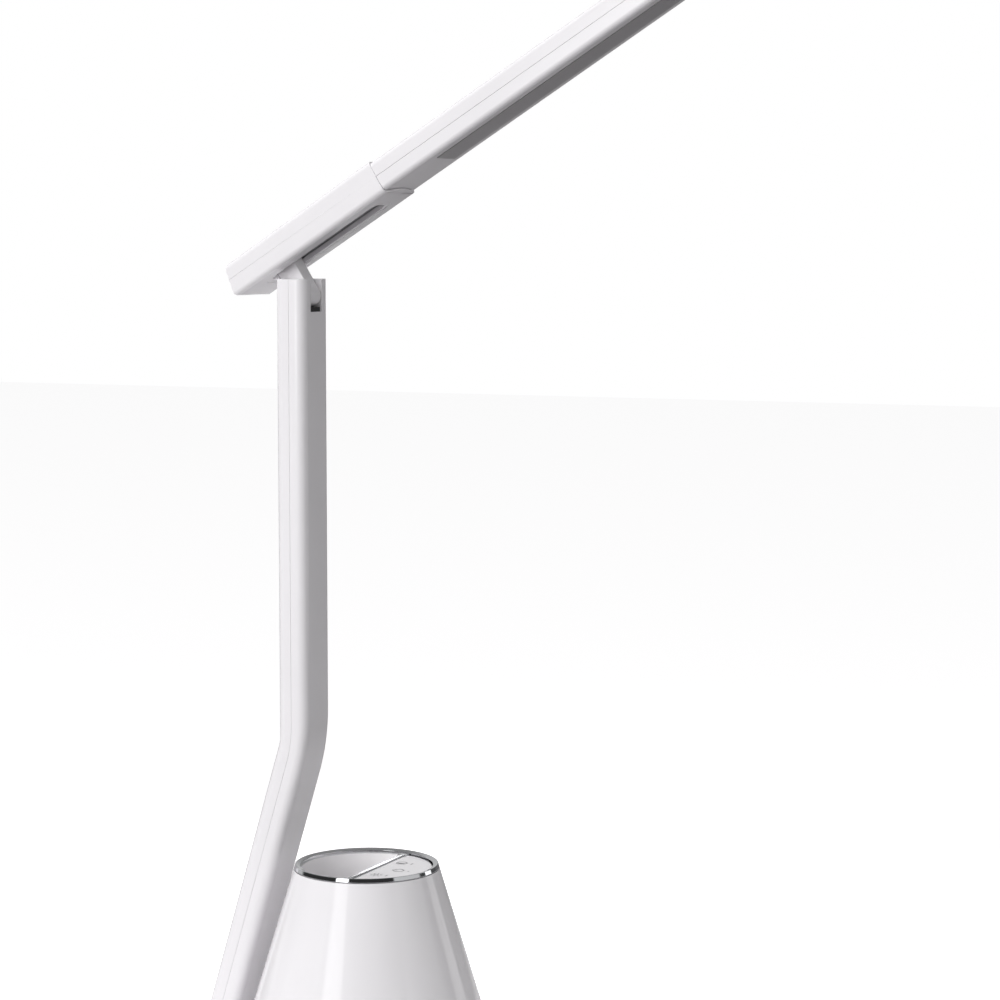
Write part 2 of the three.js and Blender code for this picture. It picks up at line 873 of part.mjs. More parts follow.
function inletFace() {
  return coneRadius(inletMiddle()) - inlet_setback;
}

function lengthwise(section, from, to) {
  return loft([from, to].map((x) => section.map((p) => new THREE.Vector3(x, p.x, p.y))));
}

function inletWindow() {
  const middle = inletMiddle();
  const half = inlet_height / 2 + inlet_window_margin;
  const width = inlet_width + 2 * inlet_window_margin;
  const section = roundedSection(width, middle - half, middle + half, half);
  const window = lengthwise(section, inletFace() - inlet_length, inletFace() + shell_wall);
  return window.rotateZ(THREE.MathUtils.degToRad(inlet_angle));
}

function powerInlet() {
  const middle = inletMiddle();
  const half = inlet_height / 2;
  const inner = half - inlet_wall;
  const face = inletFace();
  const back = face - inlet_depth;
  const section = roundedSection(inlet_width, middle - half, middle + half, half);
  const bore_width = inlet_width - 2 * inlet_wall;
  const bore = roundedSection(bore_width, middle - inner, middle + inner, inner);
  const tongue_z = [middle - inlet_tongue_height / 2, middle + inlet_tongue_height / 2];
  const tongue_x = [back - cut_overrun, back + inlet_tongue_length];
  const hollow = shaped(
    lengthwise(section, face - inlet_length, face),
    [],
    [lengthwise(bore, back, face + cut_overrun)],
  );
  return shaped(hollow, [block(tongue_x, centred(inlet_tongue_width), tongue_z)], []);
}

function addDriver(lamp) {
  const driver = new THREE.Group();
  driver.rotation.z = THREE.MathUtils.degToRad(inlet_angle);
  const foot = tray_top + board_peg_height + seat_gap;
  const board = block(boardEnds(), centred(board_width), [foot, foot + board_thickness]);
  addPiece(driver, 'driver_board', board, 'board_green');
  addPiece(driver, 'power_inlet', powerInlet(), 'alloy');
  lamp.add(driver);
}

// Post

function postCavity() {
  const width = post_width - 2 * post_wall;
  const corner = post_corner - post_wall;
  const section = roundedSection(width, post_wall, post_depth - post_wall, corner);
  return postSolid(section, shell_foot - cut_overrun, post_shell_top + cut_overrun);
}

function forkSlot() {
  const y = [post_front_y - cut_overrun, post_rear_y + cut_overrun];
  return block(centred(fork_slot_width), y, [fork_floor, post_height + cut_overrun]);
}

function spinePocket() {
  return postStump(spineSection(seat_gap), fork_spigot_foot - cut_overrun, spine_top + seat_gap);
}

function pinCradle() {
  const radius = pin_radius + pin_clearance;
  const length = pin_length + 2 * seat_gap;
  const round = crossRod(radius, length, round_flats).translate(0, hinge_y, hinge_height);
  const mouth = block(
    centred(length),
    [hinge_y, post_y + cut_overrun],
    [hinge_height - radius, hinge_height + radius],
  );
  return [round, mouth];
}

function leadExit() {
  const place = leadPlace(fork_floor);
  const radius = lead_radius + lead_bore_clearance;
  const low = fork_spigot_foot - cut_overrun;
  return upright(radius, place.x, place.y, low, fork_floor + cut_overrun, screw_flats);
}

function postShell(parting, crown) {
  const outside = halfSection(post_width, parting, crown, post_corner);
  return shaped(postSolid(outside, shell_foot, post_shell_top), [], [postCavity()]);
}

// Half of the fork that carries the hinge, with a spigot that plugs into the shell below it
function forkHalf(parting, crown, extra_cuts) {
  const outside = halfSection(post_width, parting, crown, post_corner);
  const plug_width = post_width - 2 * post_wall - 2 * seat_gap;
  const plug_crown = crown + Math.sign(parting - crown) * (post_wall + seat_gap);
  const plug = halfSection(plug_width, parting, plug_crown, post_corner - post_wall);
  return shaped(
    postStump(outside, fork_foot, post_height),
    [postStump(plug, fork_spigot_foot, fork_foot + cut_overrun)],
    [forkSlot(), spinePocket(), ...extra_cuts],
  );
}

function postAnchor() {
  const width = post_width - 2 * post_wall - 2 * seat_gap;
  const near = post_wall + seat_gap;
  const corner = post_corner - post_wall;
  const section = roundedSection(width, near, post_depth - near, corner);
  const socket_foot = anchor_top - spine_socket - seat_gap;
  const cuts = [
    postStump(spineSection(seat_gap), socket_foot, anchor_top + cut_overrun),
    leadBore(),
  ];
  for (const x of centred(anchor_screw_spacing)) {
    const high = anchor_foot + anchor_screw_rise;
    cuts.push(screwHole(x, post_foot_y, anchor_foot - cut_overrun, high));
  }
  return shaped(postStump(section, anchor_foot, anchor_top), [], cuts);
}

function addPost(lamp) {
  const middle = post_depth / 2;
  const [front_parting, rear_parting] = [middle + seat_gap / 2, middle - seat_gap / 2];
  const front_fork = forkHalf(front_parting, post_depth, [...pinCradle(), leadExit()]);
  addPiece(lamp, 'post_front_shell', postShell(front_parting, post_depth), 'white_plastic');
  addPiece(lamp, 'post_rear_shell', postShell(rear_parting, 0), 'white_plastic');
  addPiece(lamp, 'fork_front_half', front_fork, 'white_plastic');
  addPiece(lamp, 'fork_rear_half', forkHalf(rear_parting, 0, []), 'white_plastic');
  addPiece(lamp, 'post_anchor', postAnchor(), 'alloy');
  const spine = postSolid(spineSection(0), anchor_top - spine_socket, spine_top);
  addPiece(lamp, 'post_spine', spine, 'steel');
  addPiece(lamp, 'lamp_lead', tube(leadPath(), lead_radius, lead_steps), 'lead_jacket');
  centred(anchor_screw_spacing).forEach((x, i) => {
    const geometry = panScrew(anchor_screw_length - screw_head_height);
    const screw = addPiece(lamp, `anchor_screw_${i + 1}`, geometry, 'steel');
    screw.position.set(x, post_foot_y, cover_recess_top);
  });
}

// Hinge

function hingeLug() {
  const half = lug_thickness / 2;
  const top = shoe_foot - seat_gap;
  const shape = new THREE.Shape();
  shape.moveTo(-half, top);
  shape.lineTo(-half, 0);
  shape.absarc(0, 0, half, Math.PI, 2 * Math.PI, false);
  shape.lineTo(half, top);
  const bore = new THREE.Path();
  bore.absarc(0, 0, pin_radius + pin_clearance, 0, 2 * Math.PI, true);
  shape.holes.push(bore);
  const screw_foot = shoe_top - screw_head_height - shoe_screw_length - cut_overrun;
  return shaped(
    profileAcross(shape, lug_width),
    [],
    [screwHole(0, 0, screw_foot, top + cut_overrun)],
  );
}

function washer() {
  return turnedRing([
    [pin_radius + pin_clearance, 0],
    [washer_radius, 0],
    [washer_radius, washer_thickness],
    [pin_radius + pin_clearance, washer_thickness],
  ], round_flats);
}

function addHinge(lamp) {
  const hinge = new THREE.Group();
  hinge.position.set(0, hinge_y, hinge_height);
  addPiece(hinge, 'hinge_pin', crossRod(pin_radius, pin_length, round_flats), 'steel');
  const middle = (lug_width + fork_slot_width) / 4;
  for (const [name, side] of [['friction_washer_left', -1], ['friction_washer_right', 1]]) {
    const disc = addPiece(hinge, name, washer(), 'friction_disc');
    disc.rotation.y = Math.PI / 2;
    disc.position.x = side * middle - washer_thickness / 2;
  }
  lamp.add(hinge);
}

// Slider that the arm runs on

function shoeSpring() {
  const foot = shoe_top + seat_gap + spring_thickness / 2;
  const rise = tail_roof - seat_gap - foot;
  const half = spring_span / 2;
  const radius = (half ** 2 + rise ** 2) / (2 * rise);
  const middle = foot + rise - radius;
  const spread = Math.asin(half / radius);
  const [from, to] = [Math.PI / 2 - spread, Math.PI / 2 + spread];
  const outer = arcPoints(0, middle, radius, from, to, spring_flats);
  const inner = arcPoints(0, middle, radius - spring_thickness, to, from, spring_flats);
  return profileAcross(new THREE.Shape([...outer, ...inner]), spring_width);
}

function sliderShoe() {
  const body = block(centred(shoe_width), centred(shoe_length), [shoe_foot, shoe_top]);
  const seat = shoe_top - screw_head_height - seat_gap;
  const head = screw_head_radius + seat_gap;
  return shaped(body, [], [
    screwHole(0, 0, shoe_foot - cut_overrun, shoe_top),
    upright(head, 0, 0, seat, shoe_top + cut_overrun, screw_flats),
  ]);
}

function addSlider(arm) {
  addPiece(arm, 'hinge_lug', hingeLug(), 'white_plastic');
  addPiece(arm, 'slider_shoe', sliderShoe(), 'grey_plastic');
  addPiece(arm, 'slider_spring', shoeSpring(), 'steel');
  const screw = addPiece(arm, 'slider_screw', panScrew(shoe_screw_length), 'steel');
  screw.rotation.x = Math.PI;
  screw.position.z = shoe_top;
}

// Arm shells: sections are drawn across the arm, and lean says how far the ring's crown sets back

function armRing(section, along, lean) {
  return section.map((p) => {
    const height_share = (p.y - tail_bottom) / (tail_top_at_start - tail_bottom);
    return new THREE.Vector3(p.x, -(along + lean * height_share), p.y);
  });
}

function tailHalf(parting, crown_at_start, crown_at_mouth, end_radius, end_flats) {
  const side = Math.sign(parting - crown_at_start);
  const ends = Array.from({ length: end_flats + 1 }, (_, i) => {
    const turn = (Math.PI / 2) * (1 - i / end_flats);
    const along = end_radius * (1 - Math.sin(turn));
    const crown = crown_at_start + side * end_radius * (1 - Math.cos(turn));
    const narrow = Math.max(0, tail_edge - along);
    const section = halfSection(tail_width - 2 * narrow, parting, crown, tail_corner - narrow);
    return armRing(section, tail_start + along, tail_end_lean);
  });
  const mouth = halfSection(tail_width, parting, crown_at_mouth, tail_corner);
  return loft([...ends, armRing(mouth, tail_mouth, 0)]);
}

function tailCavity() {
  const width = tail_width - 2 * tail_side_wall;
  const corner = tail_corner - tail_side_wall;
  const section = roundedSection(width, tail_cavity_floor, tail_roof, corner);
  const start = tail_start + tail_end_lean + tail_side_wall;
  return loft([
    armRing(section, start, 0),
    armRing(section, tail_mouth + cut_overrun, 0),
  ]);
}

function tailLower() {
  const outer_start = slot_start - slot_border_ends;
  const outer_end = slot_end + slot_border_ends;
  const below = tail_bottom - cut_overrun;
  const border_top = tail_bottom + slot_border_depth;
  const border_width = slot_width + 2 * slot_border;
  const border = slotOutline(border_width, outer_start, outer_end, slot_corner + slot_border);
  const slot = slotOutline(slot_width, slot_start, slot_end, slot_corner);
  const parting = arm_parting - seat_gap / 2;
  const half = tailHalf(parting, tail_bottom, tail_bottom, tail_end_radius, tail_end_flats);
  return shaped(half, [], [
    tailCavity(),
    plate(border, below, border_top),
    plate(slot, below, tail_cavity_floor + cut_overrun),
  ]);
}

function tailUpper() {
  const parting = arm_parting + seat_gap / 2;
  const half = tailHalf(parting, tail_top_at_start, tail_top_at_mouth, tail_edge, 1);
  return shaped(half, [], [tailCavity()]);
}

function headHalf(parting, crown) {
  const inwards = Math.sign(parting - crown) * head_edge;
  const narrow = head_width - 2 * head_edge;
  const full = halfSection(head_width, parting, crown, head_corner);
  const cap = halfSection(narrow, parting, crown + inwards, head_corner - head_edge);
  return loft([
    armRing(full, head_start, 0),
    armRing(full, head_end - head_edge, 0),
    armRing(cap, head_end, 0),
  ]);
}

function headCavity() {
  const width = head_width - 2 * head_wall;
  const corner = head_corner - head_wall;
  const section = roundedSection(width, head_cavity_floor, head_cavity_roof, corner);
  return loft([
    armRing(section, head_start - cut_overrun, 0),
    armRing(section, head_end - head_wall, 0),
  ]);
}

function headFrame() {
  const window = block(
    centred(window_width),
    alongArm(window_start, window_end),
    [head_bottom - cut_overrun, head_cavity_floor + cut_overrun],
  );
  return shaped(headHalf(arm_parting - seat_gap / 2, head_bottom), [], [headCavity(), window]);
}

function armCoupling() {
  const width = head_width - 2 * head_wall - 2 * seat_gap;
  const foot = head_cavity_floor + seat_gap;
  const top = head_cavity_roof - seat_gap;
  const corner = head_corner - head_wall;
  const outside = roundedSection(width, foot, top, corner);
  const inner_width = width - 2 * coupling_wall;
  const inside = roundedSection(inner_width, foot + coupling_wall, top - coupling_wall,
    corner - coupling_wall);
  const overrun = cut_overrun;
  return shaped(
    loft([armRing(outside, coupling_start, 0), armRing(outside, coupling_end, 0)]),
    [],
    [loft([armRing(inside, coupling_start - overrun, 0), armRing(inside, coupling_end + overrun, 0)])],
  );
}

// Light parts in the head

function diffuser() {
  const foot = head_bottom - diffuser_proud;
  const length = alongArm(window_start + seat_gap, window_end - seat_gap);
  const lens = block(centred(window_width - 2 * seat_gap), length, [foot, diffuser_flange_top]);
  const flange = block(
    centred(diffuser_flange_width),
    length,
    [diffuser_flange_foot, diffuser_flange_top],
  );
  return shaped(lens, [flange], []);
}

function reflectorRing(width, margin, height) {
  const outline = rectangle(width, window_start + margin, window_end - margin);
  return outline.map((p) => new THREE.Vector3(p.x, -p.y, height));
}

function reflector() {
  const foot = diffuser_flange_top + seat_gap;
  const top = led_board_foot - seat_gap;
  const wall = reflector_wall;
  const outside = loft([
    reflectorRing(reflector_foot_width + 2 * wall, seat_gap, foot),
    reflectorRing(reflector_top_width + 2 * wall, seat_gap, top),
  ]);
  const inside = loft([
    reflectorRing(reflector_foot_width, wall + seat_gap, foot - cut_overrun),
    reflectorRing(reflector_top_width, wall + seat_gap, top + cut_overrun),
  ]);
  return shaped(outside, [], [inside]);
}

function ledBoard() {
  const start = window_start - led_board_margin;
  const end = window_end + led_board_margin - seat_gap;
  const strip = block(
    centred(led_board_width),
    alongArm(start, end),
    [led_board_foot, led_board_top],
  );
  const pitch = (window_end - window_start) / led_count;
  const leds = Array.from({ length: led_count }, (_, i) => {
    const middle = window_start + pitch * (i + 1 / 2);
    return block(
      centred(led_size),
      alongArm(middle - led_size / 2, middle + led_size / 2),
      [led_board_foot - led_height, led_board_foot + led_height / 2],
    );
  });
  return shaped(strip, leds, []);
}

function headLead() {
  const roof = head_cavity_roof - seat_gap - coupling_wall;
  const height = roof - seat_gap - head_lead_radius;
  const path = new THREE.LineCurve3(
    new THREE.Vector3(0, -head_lead_start, height),
    new THREE.Vector3(0, -(window_start - led_board_margin / 2), height),
  );
  return tube(path, head_lead_radius, head_lead_steps);
}

function rail(side) {
  const x = [side * rail_inner_x, side * (rail_inner_x + rail_width)].sort((a, b) => a - b);
  return block(x, alongArm(rail_start, rail_end), [rail_foot, rail_foot + rail_thickness]);
}

function addArm(arm) {
  addPiece(arm, 'tail_upper_shell', tailUpper(), 'white_plastic');
  addPiece(arm, 'tail_lower_shell', tailLower(), 'white_plastic');
  addPiece(arm, 'slide_rail_left', rail(-1), 'steel');
  addPiece(arm, 'slide_rail_right', rail(1), 'steel');
  addPiece(arm, 'arm_coupling', armCoupling(), 'grey_plastic');
  const head_upper = shaped(headHalf(arm_parting + seat_gap / 2, head_top), [], [headCavity()]);
  addPiece(arm, 'head_upper_shell', head_upper, 'white_plastic');
  addPiece(arm, 'head_frame', headFrame(), 'white_plastic');
  addPiece(arm, 'diffuser', diffuser(), 'diffuser');
  addPiece(arm, 'reflector', reflector(), 'white_plastic');
  addPiece(arm, 'led_board', ledBoard(), 'alloy');
  addPiece(arm, 'head_lead', headLead(), 'lead_jacket');
}

const lamp = new THREE.Group();
addBase(lamp);
addDriver(lamp);
addPost(lamp);
addHinge(lamp);
const arm = new THREE.Group();
arm.position.set(0, hinge_y, hinge_height);
arm.rotation.x = -arm_rise;
addSlider(arm);
addArm(arm);
lamp.add(arm);

export default lamp;
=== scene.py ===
import json
import math
from contextlib import contextmanager

import bmesh
import bpy
from mathutils import Matrix, Vector


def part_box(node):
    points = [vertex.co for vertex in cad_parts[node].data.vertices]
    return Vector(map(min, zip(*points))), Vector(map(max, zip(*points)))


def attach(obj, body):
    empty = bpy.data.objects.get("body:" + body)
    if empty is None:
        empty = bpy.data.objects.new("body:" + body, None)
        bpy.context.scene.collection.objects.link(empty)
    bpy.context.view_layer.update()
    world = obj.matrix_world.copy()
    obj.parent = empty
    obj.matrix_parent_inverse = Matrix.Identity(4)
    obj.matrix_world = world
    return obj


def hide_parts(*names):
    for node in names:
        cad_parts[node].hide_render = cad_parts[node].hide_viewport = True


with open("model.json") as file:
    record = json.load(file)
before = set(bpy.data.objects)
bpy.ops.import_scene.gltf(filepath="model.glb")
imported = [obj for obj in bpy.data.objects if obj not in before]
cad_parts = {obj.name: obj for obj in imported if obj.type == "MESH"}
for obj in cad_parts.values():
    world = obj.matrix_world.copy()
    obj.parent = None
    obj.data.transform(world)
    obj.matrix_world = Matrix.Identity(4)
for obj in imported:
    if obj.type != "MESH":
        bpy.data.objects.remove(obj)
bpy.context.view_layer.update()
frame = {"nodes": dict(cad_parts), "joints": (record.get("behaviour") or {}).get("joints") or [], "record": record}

# Desk lamp with a pen holder in its base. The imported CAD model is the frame, and the pieces that
# show are modelled here around it, in metres.

MM = 0.001

# Camera of the photograph
CAMERA_PLACE = (-1.2538, -0.6412, 0.4449)
CAMERA_AZIMUTH = math.radians(-65.65)
CAMERA_ELEVATION = math.radians(5.33)
CAMERA_LENS = 102.06
CAMERA_SENSOR = 36.0
CAMERA_CLIP = (0.05, 50)

# Small sizes and angles that the mouldings share
HAIRLINE = 0.06 * MM
WELD = HAIRLINE / 10
OVERRUN = 1.0 * MM
SEAT_GAP = 0.3 * MM
ROUND_FLATS = 128
SMOOTH_ANGLE = math.radians(32)
EDGE_ANGLE = math.radians(40)
FLAT_ANGLE = math.radians(1)
MICRON_DIGITS = 6

# Steps in a rounded edge: a plain, a visible, a shiny and a broad one, and a round corner
PLAIN_STEPS = 2
VISIBLE_STEPS = 3
SHINY_STEPS = 4
BROAD_STEPS = 5
CORNER_STEPS = 8

# Directions, and the share of one that an edge or a normal needs to count as running that way
ACROSS = Vector((1, 0, 0))
LENGTHWISE = Vector((0, 1, 0))
UP = Vector((0, 0, 1))
STRAIGHT = 0.9


# Frame places

def node_points(node):
    return [vertex.co.copy() for vertex in frame["nodes"][node].data.vertices]


def span(points, axis):
    values = [point[axis] for point in points]
    return min(values), max(values)


JOINTS = {joint["name"]: joint for joint in frame["joints"]}
HINGE = Vector(JOINTS["arm_tilt"]["pos_m"])
SLIDE_WAY = Vector(JOINTS["arm_slide"]["axis"])
ARM_RISE = math.atan2(SLIDE_WAY.z, -SLIDE_WAY.y)
ARM_PLACE = Matrix.Translation(HINGE) @ Matrix.Rotation(-ARM_RISE, 4, "X")


def arm_box(node):
    """Lowest and highest corner of a node in the arm's own frame, where the head lies towards -Y."""
    points = [ARM_PLACE.inverted() @ point for point in node_points(node)]
    spans = [span(points, axis) for axis in range(3)]
    return Vector([low for low, high in spans]), Vector([high for low, high in spans])


# Modelling steps

def pick(*pieces):
    bpy.ops.object.select_all(action="DESELECT")
    for piece in pieces:
        piece.select_set(True)
    bpy.context.view_layer.objects.active = pieces[0]


def settle(piece):
    """Puts a piece's place, turn and scale into its mesh."""
    pick(piece)
    bpy.ops.object.transform_apply(location=True, rotation=True, scale=True)
    return piece


def put(piece, matrix):
    piece.matrix_world = matrix
    return settle(piece)


def name_piece(name):
    """Names the primitive that was just added, and settles it."""
    piece = bpy.context.object
    piece.name = piece.data.name = name
    return settle(piece)


@contextmanager
def editing(piece):
    pick(piece)
    bpy.ops.object.mode_set(mode="EDIT")
    bpy.ops.mesh.select_all(action="DESELECT")
    yield
    bpy.ops.object.mode_set(mode="OBJECT")


def choose_all():
    bpy.ops.mesh.select_all(action="SELECT")


def choose(kind, test):
    """Selects the vertices, edges or faces of the mesh in edit mode that pass a test."""
    bpy.ops.mesh.select_mode(type=kind)
    bpy.ops.mesh.select_all(action="DESELECT")
    data = bpy.context.edit_object.data
    mesh = bmesh.from_edit_mesh(data)
    parts = {"VERT": mesh.verts, "EDGE": mesh.edges, "FACE": mesh.faces}[kind]
    chosen = [part for part in parts if test(part)]
    for part in chosen:
        part.select_set(True)
    bmesh.update_edit_mesh(data)
    return len(chosen)


def runs_along(edge, way):
    line = edge.verts[1].co - edge.verts[0].co
    return abs(line.normalized().dot(way)) > STRAIGHT


def middle(edge):
    return (edge.verts[0].co + edge.verts[1].co) / 2


def heights(edge):
    return [end.co.z for end in edge.verts]


def raise_outline(rise):
    """Extrudes the flat mesh in edit mode upwards, and turns its faces outwards."""
    choose_all()
    bpy.ops.mesh.extrude_region_move(TRANSFORM_OT_translate={"value": (0, 0, rise)})
    choose_all()
    bpy.ops.mesh.normals_make_consistent(inside=False)


def halve(place, waste_way):
    """Cuts off what lies on one side of a plane, and closes the cut."""
    choose_all()
    bpy.ops.mesh.bisect(plane_co=place, plane_no=waste_way, clear_outer=True, use_fill=True)


def add_box(name, low, high):
    low, high = Vector(low), Vector(high)
    bpy.ops.object.select_all(action="DESELECT")
    bpy.ops.mesh.primitive_cube_add(size=1, location=(low + high) / 2, scale=high - low)
    return name_piece(name)


def add_round(name, foot_radius, top_radius, foot, top, flats=ROUND_FLATS, ends="NGON"):
    bpy.ops.object.select_all(action="DESELECT")
    bpy.ops.mesh.primitive_cone_add(
        vertices=flats, radius1=foot_radius, radius2=top_radius, depth=top - foot,
        end_fill_type=ends, location=(0, 0, (foot + top) / 2),
    )
    return name_piece(name)


def add_plate(name, outline, foot, top):
    """A plate of any outline: a filled circle whose points are put on the outline, then raised."""
    bpy.ops.object.select_all(action="DESELECT")
    bpy.ops.mesh.primitive_circle_add(vertices=len(outline), radius=1, fill_type="NGON")
    piece = name_piece(name)
    for vertex, (x, y) in zip(piece.data.vertices, outline):
        vertex.co = (x, y, foot)
    with editing(piece):
        raise_outline(top - foot)
    return piece


def apply_modifier(piece, kind, **settings):
    pick(piece)
    modifier = piece.modifiers.new(kind.lower(), kind)
    for key, value in settings.items():
        setattr(modifier, key, value)
    bpy.ops.object.modifier_apply(modifier=modifier.name)


def cut(piece, *cutters):
    for cutter in cutters:
        apply_modifier(piece, "BOOLEAN", operation="DIFFERENCE", object=cutter, solver="EXACT")


def discard(*pieces):
    for piece in pieces:
        bpy.data.objects.remove(piece)


def join(piece, *others):
    pick(piece, *others)
    bpy.ops.object.join()
    return piece


def round_edges(piece, edge_test, radius, steps=CORNER_STEPS):
    with editing(piece):
        if choose("EDGE", edge_test):
            bpy.ops.mesh.bevel(offset=radius, offset_type="OFFSET", segments=steps,
                               affect="EDGES", clamp_overlap=True)


def soften(piece, width, steps=PLAIN_STEPS):
    apply_modifier(piece, "BEVEL", width=width, segments=steps, limit_method="ANGLE",
                   angle_limit=EDGE_ANGLE, use_clamp_overlap=True, miter_outer="MITER_ARC")


def finish_piece(piece, body, slot_name, *nodes, finish=None):
    """Gives a finished piece its shading, finish and body, and the nodes that it stands for."""
    pick(piece)
    bpy.ops.object.shade_smooth_by_angle(angle=SMOOTH_ANGLE)
    apply_modifier(piece, "WEIGHTED_NORMAL", keep_sharp=True)
    piece.data.materials.clear()
    piece.data.materials.append(FINISHES[finish or slot_name])
    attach(piece, body)
    if nodes:
        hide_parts(*nodes)


def smooth_copy(node):
    """A copy of a CAD node with its loose triangles merged, so that it can be shaded smoothly."""
    source = frame["nodes"][node]
    piece = bpy.data.objects.new(node + "_shown", source.data.copy())
    bpy.context.scene.collection.objects.link(piece)
    with editing(piece):
        choose_all()
        bpy.ops.mesh.remove_doubles(threshold=WELD)
        bpy.ops.mesh.dissolve_limited(angle_limit=FLAT_ANGLE)
    return piece


# Node building

def add_node(tree, kind, inputs=None, **settings):
    """A node with its settings, and with values for some of its inputs."""
    node = tree.nodes.new(kind)
    for key, value in settings.items():
        setattr(node, key, value)
    for label, value in (inputs or {}).items():
        node.inputs[label].default_value = value
    return node


def add_noise(tree, place, scale, detail):
    """Noise at a place. Its scale is a number, or a socket that gives one."""
    noise = add_node(tree, "ShaderNodeTexNoise", {"Detail": detail})
    tree.links.new(place, noise.inputs["Vector"])
    if isinstance(scale, bpy.types.NodeSocket):
        tree.links.new(scale, noise.inputs["Scale"])
    else:
        noise.inputs["Scale"].default_value = scale
    return noise.outputs["Fac"]


def add_ramp(tree, value, start, full, low=0, high=1):
    """Goes from low to high as a value goes from its start to its full."""
    limits = {"From Min": start, "From Max": full, "To Min": low, "To Max": high}
    ramp = add_node(tree, "ShaderNodeMapRange", limits, clamp=True)
    tree.links.new(value, ramp.inputs["Value"])
    return ramp.outputs["Result"]


def add_share(tree, base, value, share):
    """A base plus a share of a value."""
    total = add_node(tree, "ShaderNodeMath", {1: share}, operation="MULTIPLY_ADD")
    tree.links.new(value, total.inputs[0])
    tree.links.new(base, total.inputs[2])
    return total.outputs["Value"]


def stretch(tree, place, scale, turn=(0, 0, 0)):
    mapping = add_node(tree, "ShaderNodeMapping", {"Scale": scale, "Rotation": turn})
    tree.links.new(place, mapping.inputs["Vector"])
    return mapping.outputs["Vector"]


def blend_colours(tree, mask, first, second):
    """Goes from the first colour to the second. Each is a colour, or a socket that gives one."""
    mix = add_node(tree, "ShaderNodeMix", data_type="RGBA")
    tree.links.new(mask, mix.inputs["Factor"])
    for label, colour in (("A", first), ("B", second)):
        if isinstance(colour, bpy.types.NodeSocket):
            tree.links.new(colour, mix.inputs[label])
        else:
            mix.inputs[label].default_value = (*colour, 1)
    return mix.outputs["Result"]


def new_group(name, scales, masks):
    """A node group that takes a place and some scales, and puts out masks."""
    group = bpy.data.node_groups.new(name, "ShaderNodeTree")
    new_socket = group.interface.new_socket
    new_socket("Place", in_out="INPUT", socket_type="NodeSocketVector")
    for label, scale in scales.items():
        new_socket(label, in_out="INPUT", socket_type="NodeSocketFloat").default_value = scale
    for label in masks:
        new_socket(label, in_out="OUTPUT", socket_type="NodeSocketFloat")
    return group, group.nodes.new("NodeGroupInput"), group.nodes.new("NodeGroupOutput")


def new_material(name):
    material = bpy.data.materials.new(name)
    material.use_nodes = True
    tree = material.node_tree
    place = add_node(tree, "ShaderNodeTexCoord").outputs["Object"]
    return material, tree, tree.nodes["Principled BSDF"], place


# Finishes

WAVE_SCALE = 30.0
WAVE_DETAIL = 2.0
GRAIN_SCALE = 2500.0
GRAIN_DETAIL = 1.0
GRAIN_SHARE = 0.12
RUB_SCALE = 60.0
RUB_DETAIL = 4.0
RUB_STRETCH = (1.0, 14.0, 3.0)
RUB_TURN = (0.4, 0.2, 0.7)
RUB_START = 0.60
RUB_FULL = 0.80
STREAK_SCALE = 400.0
STREAK_DETAIL = 3.0
STREAK_STRETCH = (0.05, 1.0, 1.0)
SMUDGE_SCALE = 45.0
SMUDGE_DETAIL = 3.0
WEAR_START = 0.3
WEAR_FULL = 0.7
PLASTIC_IOR = 1.5


def make_moulding_group():
    """Moulded plastic: slow waves from cooling, a fine grain and a few hairline rubs."""
    group, given, out = new_group(
        "moulded_surface",
        {"Wave Scale": WAVE_SCALE, "Grain Scale": GRAIN_SCALE, "Rub Scale": RUB_SCALE},
        ["Cloud", "Height", "Rubs"],
    )
    place = given.outputs["Place"]
    wave = add_noise(group, place, given.outputs["Wave Scale"], WAVE_DETAIL)
    grain = add_noise(group, place, given.outputs["Grain Scale"], GRAIN_DETAIL)
    drawn = stretch(group, place, RUB_STRETCH, RUB_TURN)
    rub = add_noise(group, drawn, given.outputs["Rub Scale"], RUB_DETAIL)
    link = group.links.new
    link(wave, out.inputs["Cloud"])
    link(add_share(group, wave, grain, GRAIN_SHARE), out.inputs["Height"])
    link(add_ramp(group, rub, RUB_START, RUB_FULL), out.inputs["Rubs"])
    return group


def make_brushing_group():
    """Drawn or ground metal: long fine streaks along X."""
    group, given, out = new_group("brushed_surface", {"Streak Scale": STREAK_SCALE},
                                  ["Streaks", "Smudges"])
    place = given.outputs["Place"]
    drawn = stretch(group, place, STREAK_STRETCH)
    streaks = add_noise(group, drawn, given.outputs["Streak Scale"], STREAK_DETAIL)
    group.links.new(streaks, out.inputs["Streaks"])
    smudges = add_noise(group, place, SMUDGE_SCALE, SMUDGE_DETAIL)
    group.links.new(smudges, out.inputs["Smudges"])
    return group


MOULDING = make_moulding_group()
BRUSHING = make_brushing_group()


def surface_material(name, group, scales, masks, colours, gloss, relief):
    """masks names the group's outputs that drive the colour, the roughness and the relief."""
    material, tree, shader, place = new_material(name)
    surface = add_node(tree, "ShaderNodeGroup", scales, node_tree=group)
    link = tree.links.new
    link(place, surface.inputs["Place"])
    tone, wear, height = (surface.outputs[mask] for mask in masks)
    link(blend_colours(tree, tone, *colours), shader.inputs["Base Color"])
    link(add_ramp(tree, wear, WEAR_START, WEAR_FULL, *gloss), shader.inputs["Roughness"])
    bump = add_node(tree, "ShaderNodeBump", {"Distance": relief})
    link(height, bump.inputs["Height"])
    link(bump.outputs["Normal"], shader.inputs["Normal"])
    return material, shader


def plastic(name, light, shade, gloss, relief, waves=WAVE_SCALE, grain=GRAIN_SCALE):
    """gloss is the roughness at the smoothest and the dullest places."""
    material, shader = surface_material(
        name, MOULDING, {"Wave Scale": waves, "Grain Scale": grain},
        ("Cloud", "Rubs", "Height"), (light, shade), gloss, relief)
    shader.inputs["IOR"].default_value = PLASTIC_IOR
    return material


